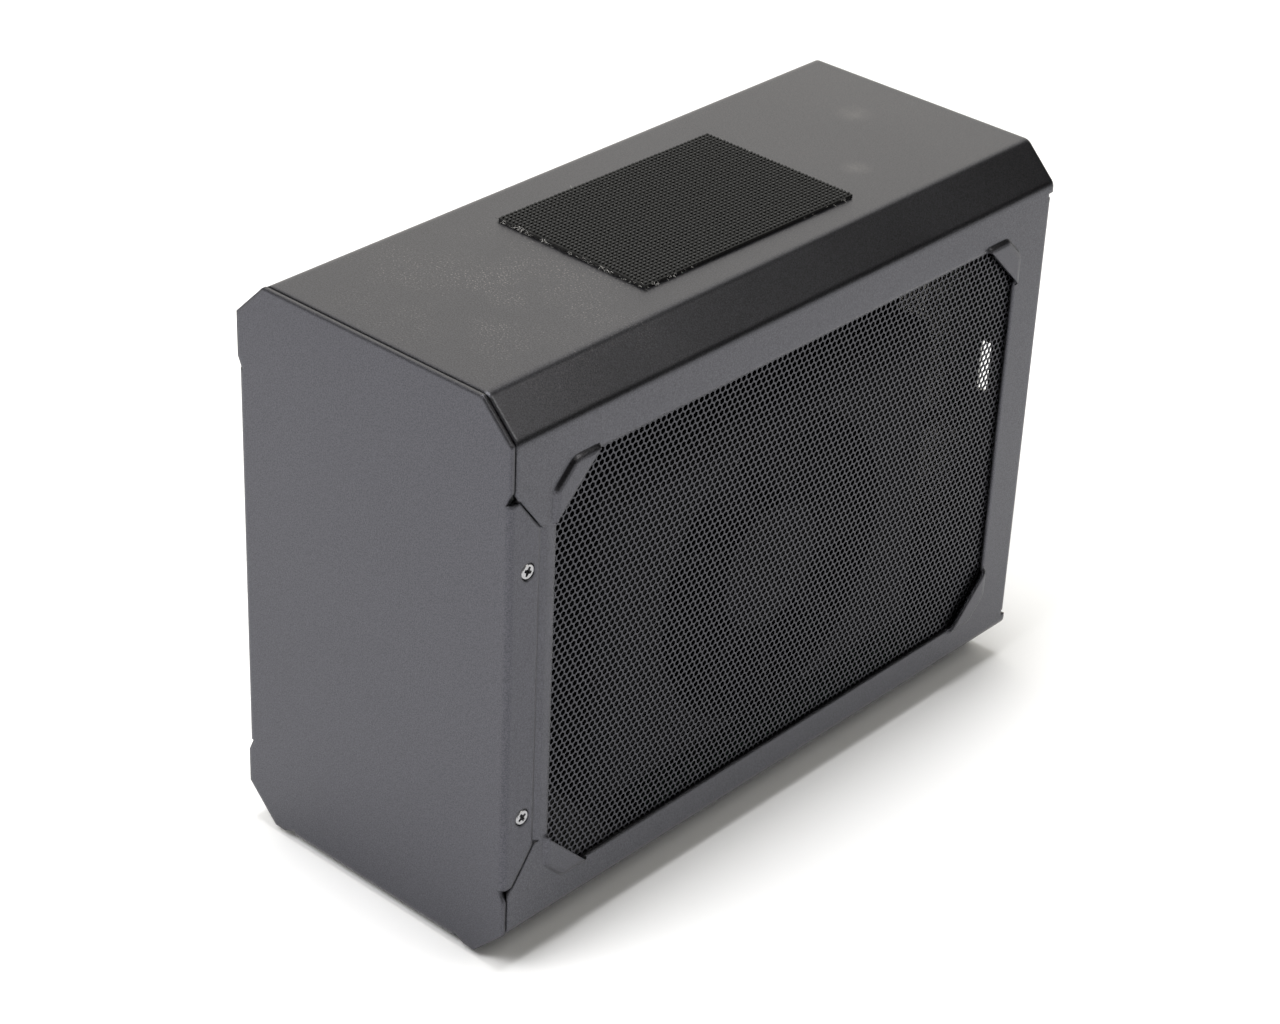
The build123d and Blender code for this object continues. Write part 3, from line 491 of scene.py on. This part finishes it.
def add_piece(name, vertices, faces, material, replaced=(), smooth=False):
    """Mesh piece that rides on the case, takes the given material and may stand for CAD nodes."""
    mesh = bpy.data.meshes.new(name)
    mesh.from_pydata(vertices, [], faces)
    mesh.materials.append(material)
    if smooth:
        mesh.shade_smooth()
    piece = bpy.data.objects.new(name, mesh)
    bpy.context.scene.collection.objects.link(piece)
    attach(piece, BODY)
    if replaced:
        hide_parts(*replaced)


def paint(node, material):
    """A CAD node keeps its shape and gets a material."""
    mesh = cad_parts[node].data
    mesh.materials.clear()
    mesh.materials.append(material)


class Shape:
    """Vertices and faces of a mesh that grows piece by piece."""

    def __init__(self):
        self.vertices = []
        self.faces = []

    def add(self, vertices, faces):
        """Vertices, with faces that count from the first of them."""
        start = len(self.vertices)
        self.vertices += [tuple(v) for v in vertices]
        self.faces += [tuple(start + i for i in face) for face in faces]

    def box(self, low, high):
        """Closed block between two corners."""
        ends_x, ends_y, ends_z = zip(low, high)
        corners = [(x, y, z) for x in ends_x for y in ends_y for z in ends_z]
        sides = [(0, 1, 3, 2), (4, 6, 7, 5), (0, 4, 5, 1), (2, 3, 7, 6), (0, 2, 6, 4), (1, 5, 7, 3)]
        self.add(corners, sides)


def hexagon_mesh(node, side, material):
    """Fine hexagon mesh in place of a grille: webs between neighbouring holes, and the holes' walls."""
    low, high = (Vector(v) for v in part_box(node))
    outer_x = high.x if side > 0 else low.x
    inner_x = outer_x - side * HEX_DEPTH
    row_step = HEX_PITCH * math.sqrt(3) / 2
    radius = (HEX_PITCH - HEX_WEB) / math.sqrt(3)
    columns = int((high.y - low.y - 2 * HEX_BORDER) / HEX_PITCH - 0.5)
    rows = int((high.z - low.z - 2 * HEX_BORDER) / row_step)
    start_y = (low.y + high.y) / 2 - (columns - 0.5) * HEX_PITCH / 2
    start_z = (low.z + high.z) / 2 - (rows - 1) * row_step / 2
    angles = [math.radians(30 + 60 * k) for k in range(6)]
    corners = [(radius * math.cos(a), radius * math.sin(a)) for a in angles]
    hole_vertices = 2 * len(corners)
    vertices = []
    for row in range(rows):
        for column in range(columns):
            y = start_y + (column + 0.5 * (row % 2)) * HEX_PITCH
            z = start_z + row * row_step
            vertices += [(outer_x, y + dy, z + dz) for dy, dz in corners]
            vertices += [(inner_x, y + dy, z + dz) for dy, dz in corners]

    def corner(row, column, index):
        """Vertex of a hole on the outer face: its corners count up from the right upper one."""
        if 0 <= row < rows and 0 <= column < columns:
            return hole_vertices * (row * columns + column) + index
        return None

    faces = []
    for row in range(rows):
        for column in range(columns):
            base = hole_vertices * (row * columns + column)
            for k in range(6):
                after = (k + 1) % 6
                faces.append((base + k, base + after, base + 6 + after, base + 6 + k))
            up = column + row % 2
            webs = [
                [(row, column, 5), (row, column + 1, 3), (row, column + 1, 2), (row, column, 0)],
                [(row, column, 0), (row + 1, up, 4), (row + 1, up, 3), (row, column, 1)],
                [(row, column, 1), (row + 1, up - 1, 5), (row + 1, up - 1, 4), (row, column, 2)],
                [(row, column, 0), (row, column + 1, 2), (row + 1, up, 4)],
                [(row, column, 1), (row + 1, up, 3), (row + 1, up - 1, 5)],
            ]
            for web in webs:
                face = [corner(*spot) for spot in web]
                if None not in face:
                    faces.append(tuple(face))
    mesh = Shape()
    mesh.add(vertices, faces)
    rims = [
        ((low.y, low.z), (high.y, low.z + HEX_RIM)),
        ((low.y, high.z - HEX_RIM), (high.y, high.z)),
        ((low.y, low.z + HEX_RIM), (low.y + HEX_RIM, high.z - HEX_RIM)),
        ((high.y - HEX_RIM, low.z + HEX_RIM), (high.y, high.z - HEX_RIM)),
    ]
    for rim_low, rim_high in rims:
        mesh.box((low.x + HEX_RIM_INSET, *rim_low), (high.x - HEX_RIM_INSET, *rim_high))
    add_piece(f"{node}_mesh", mesh.vertices, mesh.faces, material, replaced=[node])


def tape_place():
    """Transform from the tape's own frame, whose origin is in the middle of its foot."""
    low, high = (Vector(v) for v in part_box("hook_patch"))
    centre = Vector(((low.x + high.x) / 2, (low.y + high.y) / 2, low.z))
    return Matrix.Translation(centre) @ Matrix.Rotation(math.radians(PATCH_TURN), 4, "Z")


def wire(shape, points, width):
    """Square wire along points: each ring lies level, and the end is closed."""
    half = width / 2
    corners = ((-half, 0), (0, -half), (half, 0), (0, half))
    rings = [(x + dx, y + dy, z) for x, y, z in points for dx, dy in corners]
    sides = [
        (4 * s + k, 4 * s + (k + 1) % 4, 4 * s + 4 + (k + 1) % 4, 4 * s + 4 + k)
        for s in range(len(points) - 1)
        for k in range(4)
    ]
    last = 4 * (len(points) - 1)
    shape.add(rings, sides + [(last, last + 1, last + 2, last + 3)])


def hook_tape(material):
    """Thin tape with a close grid of low rounded hooks in place of the plain block on the top."""
    to_top = tape_place()
    tape = Shape()
    tape.box((-PATCH_WIDTH / 2, -PATCH_LENGTH / 2, 0), (PATCH_WIDTH / 2, PATCH_LENGTH / 2, PATCH_TAPE))
    angles = [2 * math.pi * k / HOOK_SIDES for k in range(HOOK_SIDES)]
    last = (len(HOOK_RINGS) - 1) * HOOK_SIDES
    walls = [
        (start + k, start + after, start + HOOK_SIDES + after, start + HOOK_SIDES + k)
        for start in range(0, last, HOOK_SIDES)
        for k, after in zip(range(HOOK_SIDES), [*range(1, HOOK_SIDES), 0])
    ]
    cap = tuple(range(last, last + HOOK_SIDES))
    chance = random.Random(HOOK_SEED)
    columns = int(PATCH_WIDTH / HOOK_PITCH)
    rows = int(PATCH_LENGTH / HOOK_ROW)
    for row in range(rows):
        for column in range(columns):
            x = (column - (columns - 1) / 2) * HOOK_PITCH
            y = (row - (rows - 1) / 2) * HOOK_ROW
            tall = (PATCH_HEIGHT - PATCH_TAPE) * chance.uniform(*HOOK_TALL)
            lean_x = HOOK_LEAN * chance.uniform(*HOOK_SWAY)
            lean_y = HOOK_LEAN * (1 if column % 2 else -1) * chance.uniform(*HOOK_TILT)
            hook = [
                (
                    x + lean_x * up + radius * MM * math.cos(angle),
                    y + lean_y * up + HOOK_LONG * radius * MM * math.sin(angle),
                    PATCH_TAPE + up * tall,
                )
                for radius, up in HOOK_RINGS
                for angle in angles
            ]
            tape.add(hook, [*walls, cap])
    vertices = [to_top @ Vector(v) for v in tape.vertices]
    add_piece("hook_tape", vertices, tape.faces, material, replaced=["hook_patch"])


def edge_spot(chance):
    """Where a loose thread starts beside the tape: most in tufts at the front, a few at the other edges."""
    front, front_right, rear_right, rear = THREAD_EDGES
    tuft_spread, front_spread, rear_spread = THREAD_SPREADS
    half_width, half_length = PATCH_WIDTH / 2, PATCH_LENGTH / 2
    edge = chance.random()
    off = chance.uniform(*THREAD_OFF) * MM
    if edge < front:
        tuft = chance.choice(THREAD_TUFTS)
        return min(max(chance.gauss(tuft, tuft_spread), -1), 1) * half_width, -half_length - off
    if edge < front_right:
        return half_width + off, -half_length + abs(chance.gauss(0, front_spread)) * half_length
    if edge < rear_right:
        return half_width + off, half_length - abs(chance.gauss(0, rear_spread)) * half_length
    if edge < rear:
        return chance.uniform(-1, 1) * half_width, half_length + off
    return -half_width - off, chance.uniform(*THREAD_LEFT) * half_length


def stray_threads(material):
    """Loose threads along the tape's cut edges."""
    to_top = tape_place()
    threads = Shape()
    chance = random.Random(THREAD_SEED)
    for _ in range(THREADS):
        x, y = edge_spot(chance)
        z = chance.uniform(*THREAD_START) * MM
        heading = chance.uniform(0, 2 * math.pi)
        points = []
        for _ in range(THREAD_POINTS):
            points.append((x, y, z))
            heading += chance.uniform(*THREAD_TURN)
            step = chance.uniform(*THREAD_STEP) * MM
            x += step * math.cos(heading)
            y += THREAD_FLAT * step * math.sin(heading)
            z = min(max(z + chance.uniform(*THREAD_CLIMB) * MM, THREAD_LOW), PATCH_HEIGHT)
        wire(threads, points, THREAD_WIRE)
    vertices = [to_top @ Vector(v) for v in threads.vertices]
    add_piece("stray_threads", vertices, threads.faces, material)


def cross_head(shape, to_place, radius, depth):
    """Flat screw head with a bevelled rim and a cross recess, facing along local Z."""
    angles = [2 * math.pi * k / HEAD_SIDES for k in range(HEAD_SIDES)]
    flat = radius - SCREW_BEVEL
    rim = [Vector((flat * math.cos(a), flat * math.sin(a), 0)) for a in angles]
    edge = [Vector((radius * math.cos(a), radius * math.sin(a), -SCREW_BEVEL)) for a in angles]
    foot = [Vector((v.x, v.y, -depth)) for v in edge]
    cross = []
    for quarter in range(4):
        spin = Matrix.Rotation(quarter * math.pi / 2, 3, "Z")
        cross += [
            spin @ Vector((CROSS_HALF, CROSS_HALF, 0)),
            spin @ Vector((CROSS_HALF * CROSS_TAPER, CROSS_ARM, 0)),
            spin @ Vector((-CROSS_HALF * CROSS_TAPER, CROSS_ARM, 0)),
        ]
    floor = [Vector((CROSS_FLOOR * v.x, CROSS_FLOOR * v.y, -CROSS_DEPTH)) for v in cross]
    shape.add([to_place @ v for v in rim + cross], tessellate_polygon([rim, cross]))
    sides = [
        (start + k, start + HEAD_SIDES + k, start + HEAD_SIDES + after, start + after)
        for start in (0, HEAD_SIDES)
        for k, after in zip(range(HEAD_SIDES), [*range(1, HEAD_SIDES), 0])
    ]
    shape.add([to_place @ v for v in rim + edge + foot], sides)
    count = len(cross)
    walls = [(k, (k + 1) % count, count + (k + 1) % count, count + k) for k in range(count)]
    shape.add([to_place @ v for v in cross + floor], walls + [tuple(range(count, 2 * count))])


def pierced_block(shape, to_place, outline, holes, height, hole_depth, bevel):
    """Block with a bevelled top, facing along local Z, and blind holes in it; its foot is at the origin."""
    inner = [v * (1 - bevel / v.length) for v in outline]

    def level(points, z):
        """Points of an outline, lifted to a height."""
        return [Vector((v.x, v.y, z)) for v in points]

    loops = [level(inner, height)] + [level(hole, height) for hole in holes]
    shape.add([to_place @ v for loop in loops for v in loop], tessellate_polygon(loops))
    rings = [
        (level(inner, height), level(outline, height - bevel)),
        (level(outline, height - bevel), level(outline, 0)),
    ]
    rings += [(level(hole, height), level(hole, height - hole_depth)) for hole in holes]
    for upper, lower in rings:
        count = len(upper)
        walls = [(k, count + k, count + (k + 1) % count, (k + 1) % count) for k in range(count)]
        shape.add([to_place @ v for v in upper + lower], walls)
    for hole in holes:
        shape.add([to_place @ v for v in level(hole, height - hole_depth)], [tuple(range(len(hole)))])


def rectangle(x, y, half_x, half_y):
    """Corners of a rectangle round a centre."""
    return [Vector((x + a * half_x, y + b * half_y)) for a, b in ((-1, -1), (1, -1), (1, 1), (-1, 1))]


def circle(radius, steps, turn=0.0):
    """Points on a circle round the origin; with few steps, a polygon's corners."""
    angles = [turn + 2 * math.pi * k / steps for k in range(steps)]
    return [Vector((radius * math.cos(a), radius * math.sin(a))) for a in angles]


def inner_leads(material):
    """Two sleeved power leads on smooth lines, each from the supply to its socket."""
    for node, route in LEAD_ROUTES.items():
        line = bpy.data.curves.new(f"{node}_line", "CURVE")
        line.dimensions = "3D"
        line.bevel_depth = LEAD_RADIUS
        line.bevel_resolution = LEAD_ROUND_STEPS
        line.resolution_u = LEAD_LINE_STEPS
        line.use_fill_caps = True
        spline = line.splines.new("NURBS")
        spline.points.add(len(route) - 1)
        for point, spot in zip(spline.points, route):
            point.co = (*(MM * c for c in spot), 1.0)
        spline.order_u = LEAD_LINE_ORDER
        spline.use_endpoint_u = True
        line.materials.append(material)
        lead = bpy.data.objects.new(f"{node}_sleeve", line)
        bpy.context.scene.collection.objects.link(lead)
        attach(lead, BODY)
        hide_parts(node)


def rear_place(x, y, z):
    """Transform of something that faces backwards, with its local Y up."""
    return Matrix.Translation((x, y, z)) @ Matrix(((-1, 0, 0, 0), (0, 0, 1, 0), (0, 1, 0, 0), (0, 0, 0, 1)))


def video_insert(material):
    """Insulator in the video socket's mouth, with its contact holes and the slot of the blade."""
    low, high = (Vector(v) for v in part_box("dvi_socket"))
    holes = [
        rectangle(
            (column - (CONTACT_COLUMNS - 1) / 2) * CONTACT_PITCH,
            CONTACT_UP + (row - (CONTACT_ROWS - 1) / 2) * CONTACT_PITCH,
            CONTACT_HALF,
            CONTACT_HALF,
        )
        for row in range(CONTACT_ROWS)
        for column in range(CONTACT_COLUMNS)
    ]
    holes.append(rectangle(0, -BLADE_DOWN, *BLADE_HALF))
    insert = Shape()
    to_place = rear_place((low.x + high.x) / 2, high.y - INSERT_MOUTH, (low.z + high.z) / 2)
    outline = rectangle(0, 0, INSERT_HALF_WIDTH, INSERT_HALF_LENGTH)
    pierced_block(insert, to_place, outline, holes, INSERT_DEPTH, CONTACT_DEPTH, INSERT_BEVEL)
    add_piece("video_socket_insert", insert.vertices, insert.faces, material)


def video_posts(material):
    """Two hexagon posts with threaded holes, on the card's bracket beside the video socket."""
    low, high = (Vector(v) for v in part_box("dvi_socket"))
    bracket = Vector(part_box("card_bracket")[1]).y
    holes = [circle(POST_HOLE, POST_HOLE_SIDES)]
    posts = Shape()
    for end in (-1, 1):
        to_place = rear_place((low.x + high.x) / 2, bracket, (low.z + high.z) / 2 + end * POST_SPACING)
        outline = circle(POST_RADIUS, 6, POST_TURN * end)
        pierced_block(posts, to_place, outline, holes, POST_HEIGHT, POST_HOLE_DEPTH, POST_BEVEL)
    add_piece("video_socket_posts", posts.vertices, posts.faces, material)


def rear_screws(material):
    """Cross-head screws in the shell's return flanges at the back."""
    low, high = (Vector(v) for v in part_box("outer_shell"))
    reach = Vector(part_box("front_cover")[1]).x - REAR_SCREW_INSET
    turn, turn_step = REAR_SCREW_TURNS
    heads = Shape()
    for side in (-1, 1):
        for step in (-1, 0, 1):
            spin = Matrix.Rotation(turn + turn_step * step * side, 4, "Z")
            z = (low.z + high.z) / 2 + step * REAR_SCREW_STEP
            to_place = rear_place(side * reach, high.y + REAR_SCREW_RISE, z) @ spin
            cross_head(heads, to_place, REAR_SCREW_RADIUS, REAR_SCREW_RISE + REAR_SCREW_SINK)
    add_piece("rear_screws", heads.vertices, heads.faces, material)


def rounded_path(corners, radii):
    """Points along straight runs whose inner corners are rounded by the radii."""
    shares = [k / PAD_ROUND_STEPS for k in range(PAD_ROUND_STEPS + 1)]
    points = [corners[0]]
    for before, corner, after, radius in zip(corners, corners[1:], corners[2:], radii):
        back = (before - corner).normalized()
        onward = (after - corner).normalized()
        half = back.angle(onward) / 2
        centre = corner + (back + onward).normalized() * (radius / math.sin(half))
        reach = radius / math.tan(half)
        first = corner + back * reach - centre
        last = corner + onward * reach - centre
        points += [centre + radius * first.slerp(last, share).normalized() for share in shares]
    return points + [corners[-1]]


def pressed_pads(material):
    """Rounded walls round the pressed pads at the corners of both side windows."""
    pads = Shape()
    face = Vector(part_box("front_cover")[1]).x
    low, high = (Vector(v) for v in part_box("grille_right"))
    half_y = (high.y - low.y) / 2 - GRILLE_LAP
    half_z = (high.z - low.z) / 2 - GRILLE_LAP
    rings = []
    for inward, rise in PAD_WALL:
        shrink = inward * MM
        reach_y, reach_z = half_y + PAD_MARGIN - shrink, half_z + PAD_MARGIN - shrink
        cut = PAD_CORNER + shrink * (math.sqrt(2) - 2)
        tail_y = half_y - WINDOW_CORNER - PAD_TAIL + shrink
        tail_z = half_z - WINDOW_CORNER - PAD_TAIL + shrink
        corners = [
            (tail_y, half_z),
            (tail_y, reach_z),
            (reach_y - cut, reach_z),
            (reach_y, reach_z - cut),
            (reach_y, tail_z),
            (half_y, tail_z),
        ]
        end_round = min(PAD_END_ROUND - shrink, PAD_END_SHARE * (reach_z - half_z))
        end_round = max(end_round, PAD_ROUND_LEAST)
        radii = [end_round, PAD_ROUND - shrink, PAD_ROUND - shrink, end_round]
        rings.append([(rise * MM, v.x, v.y) for v in rounded_path([Vector(c) for c in corners], radii)])
    count = len(rings[0])
    walls = [
        (row * count + k, row * count + k + 1, (row + 1) * count + k + 1, (row + 1) * count + k)
        for row in range(len(rings) - 1)
        for k in range(count - 1)
    ]
    turned = [wall[::-1] for wall in walls]
    middle_y, middle_z = (low.y + high.y) / 2, (low.z + high.z) / 2
    for side in (-1, 1):
        for end_y in (-1, 1):
            for end_z in (-1, 1):
                band = [
                    (side * (face + rise), middle_y + end_y * y, middle_z + end_z * z)
                    for ring in rings
                    for rise, y, z in ring
                ]
                pads.add(band, walls if side * end_y * end_z > 0 else turned)
    add_piece("pressed_pads", pads.vertices, pads.faces, material, smooth=True)


def front_screws(material):
    """Cross-head screws in the cover's side flanges."""
    low, high = (Vector(v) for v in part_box("front_screws"))
    radius = (high.y - low.y) / 2
    turn, turn_step = HEAD_TURNS
    heads = Shape()
    for side, x in ((-1, low.x), (1, high.x)):
        outwards = Matrix.Rotation(side * math.pi / 2, 4, "Y")
        for index, z in enumerate((low.z + radius, high.z - radius)):
            spin = Matrix.Rotation(turn + turn_step * index, 4, "Z")
            to_place = Matrix.Translation((x, (low.y + high.y) / 2, z)) @ (outwards @ spin)
            cross_head(heads, to_place, HEAD_SHARE * radius, HEAD_DEPTH)
    add_piece("cross_head_screws", heads.vertices, heads.faces, material, ["front_screws"])


def camera():
    """Camera at the photograph's angle."""
    data = bpy.data.cameras.new("camera")
    data.lens = CAMERA_LENS
    data.sensor_width = CAMERA_SENSOR
    data.clip_start = 0.01
    eye = bpy.data.objects.new("camera", data)
    bpy.context.scene.collection.objects.link(eye)
    aim = Euler((math.radians(90 - CAMERA_ELEVATION), 0, math.radians(CAMERA_AZIMUTH))).to_matrix()
    roll = Matrix.Rotation(math.radians(CAMERA_ROLL), 3, "Z")
    eye.matrix_world = Matrix.Translation(CAMERA_PLACE) @ (aim @ roll).to_4x4()
    bpy.context.scene.camera = eye


def softbox(name, position, size, power):
    """Square area light that faces the object."""
    data = bpy.data.lights.new(name, "AREA")
    data.size = size
    data.energy = power
    lamp = bpy.data.objects.new(name, data)
    bpy.context.scene.collection.objects.link(lamp)
    lamp.location = position
    aim = Vector(LAMP_TARGET) - Vector(position)
    lamp.rotation_euler = aim.to_track_quat("-Z", "Y").to_euler()


def corner_of_room(world, side, angles, inside, outside):
    """Level that goes from outside to inside a corner of the room, towards a side."""
    nodes = world.node_tree.nodes
    links = world.node_tree.links
    direction = nodes.new("ShaderNodeTexCoord")
    nearness = nodes.new("ShaderNodeVectorMath")
    nearness.operation = "DOT_PRODUCT"
    nearness.inputs[1].default_value = Vector(side).normalized()
    links.new(direction.outputs["Generated"], nearness.inputs[0])
    fade = nodes.new("ShaderNodeMapRange")
    fade.interpolation_type = "SMOOTHSTEP"
    narrow, wide = angles
    fade.inputs["From Min"].default_value = math.cos(math.radians(wide))
    fade.inputs["From Max"].default_value = math.cos(math.radians(narrow))
    fade.inputs["To Min"].default_value = outside
    fade.inputs["To Max"].default_value = inside
    links.new(nearness.outputs["Value"], fade.inputs["Value"])
    return fade.outputs["Result"]


def room():
    """Dim room with a bright corner, a dark side and a bright place; to the camera it is pale all round."""
    world = bpy.data.worlds.new("room")
    world.use_nodes = True
    left = corner_of_room(world, LEFT_SIDE, LEFT_ANGLES, LEFT_LEVEL, 0.0)
    dark = corner_of_room(world, DARK_SIDE, DARK_ANGLES, DARK_LEVEL, ROOM_LEVEL)
    bright = corner_of_room(world, PLACE_SIDE, PLACE_ANGLES, PLACE_LEVEL, 0.0)
    level = math_node(world, "MAXIMUM", math_node(world, "MAXIMUM", left, dark), bright)
    path = world.node_tree.nodes.new("ShaderNodeLightPath")
    level = math_node(world, "MAXIMUM", level, path.outputs["Is Camera Ray"])
    background = world.node_tree.nodes["Background"]
    background.inputs["Color"].default_value = (*ROOM_COLOR, 1.0)
    link(world, level, background.inputs["Strength"])
    bpy.context.scene.world = world


def studio():
    """Pale floor, two softboxes and the room."""
    mesh = bpy.data.meshes.new("floor")
    corners = [(x * FLOOR_HALF, y * FLOOR_HALF, 0) for x, y in ((-1, -1), (1, -1), (1, 1), (-1, 1))]
    mesh.from_pydata(corners, [], [(0, 1, 2, 3)])
    mesh.materials.append(paper("floor_paper"))
    floor = bpy.data.objects.new("floor", mesh)
    bpy.context.scene.collection.objects.link(floor)
    softbox("key", KEY_PLACE, KEY_SIZE, KEY_POWER)
    softbox("fill", FILL_PLACE, FILL_SIZE, FILL_POWER)
    room()
    bpy.context.scene.view_settings.view_transform = "Standard"


def dress_case():
    """Coats, mesh, tape, screws, pads and feet of what shows from outside."""
    shell_coat = dusty_coat("shell_coat", color=(0.084, 0.084, 0.094), roughness=0.3)
    worn_edges(shell_coat, EDGE_RADIUS)
    paint("outer_shell", shell_coat)
    cover_coat = powder_coat("cover_coat", color=(0.08, 0.08, 0.091), roughness=0.32)
    worn_edges(cover_coat, EDGE_RADIUS)
    paint("front_cover", cover_coat)
    mesh_coat = powder_coat("mesh_coat", color=(0.064, 0.064, 0.072), roughness=0.4)
    hexagon_mesh("grille_right", 1, mesh_coat)
    hexagon_mesh("grille_left", -1, mesh_coat)
    hook_tape(hook_nylon("hook_nylon"))
    stray_threads(loose_thread("loose_thread"))
    screw_steel = brushed_metal("screw_steel", color=(0.45, 0.45, 0.46), roughness=0.35, stretch=(1, 1, 6))
    front_screws(screw_steel)
    rear_screws(screw_steel)
    pressed_pads(shell_coat)
    rubber = moulded_plastic("foot_rubber", color=(0.02, 0.02, 0.02), roughness=0.8)
    for foot in ("foot_front_left", "foot_front_right", "foot_rear_left", "foot_rear_right"):
        paint(foot, rubber)


def dress_inside():
    """Materials of the chassis, boards, supply and card, seen at the back and faintly through the mesh."""
    chassis = brushed_metal("chassis_steel", color=(0.12, 0.12, 0.125), roughness=0.5, stretch=(1, 20, 1))
    nickel = brushed_metal("nickel_steel", color=(0.44, 0.435, 0.42), roughness=0.34, stretch=(1, 1, 20))
    aluminium = brushed_metal("sink_aluminium", color=(0.2, 0.2, 0.205), roughness=0.45, stretch=(1, 1, 20))
    black_coat = powder_coat("panel_coat", color=(0.03, 0.03, 0.032), roughness=0.5)
    black = moulded_plastic("black_plastic", color=(0.008, 0.008, 0.009), roughness=0.65, specular=0.2)
    laminate = circuit_board("board_laminate")
    brass = brushed_metal("pin_brass", color=(0.7, 0.55, 0.3), roughness=0.3, stretch=(1, 20, 1))
    looks = {
        chassis: ["base_plate", "divider_wall", "board_standoffs"],
        nickel: [
            "card_bracket",
            "usb_sockets",
            "usb_c_socket",
            "hdmi_socket",
            "displayport_sockets",
            "dvi_socket",
        ],
        aluminium: ["controller_heatsink", "card_heatsink"],
        black_coat: ["rear_panel", "psu_case"],
        black: [
            "card_slot",
            "board_power_socket",
            "card_power_socket",
            "ac_inlet",
            "card_fan_mount",
            "card_fan",
            "card_shroud",
            "psu_fan_frame",
            "psu_fan",
        ],
        laminate: ["main_board", "card_board"],
        brass: ["inlet_pins"],
    }
    for material, nodes in looks.items():
        for node in nodes:
            paint(node, material)
    video_insert(black)
    video_posts(nickel)
    sleeve = moulded_plastic(
        "lead_sleeve",
        color=(0.012, 0.012, 0.012),
        roughness=0.7,
        grain_size=SLEEVE_GRAIN,
    )
    inner_leads(sleeve)


camera()
studio()
dress_case()
dress_inside()
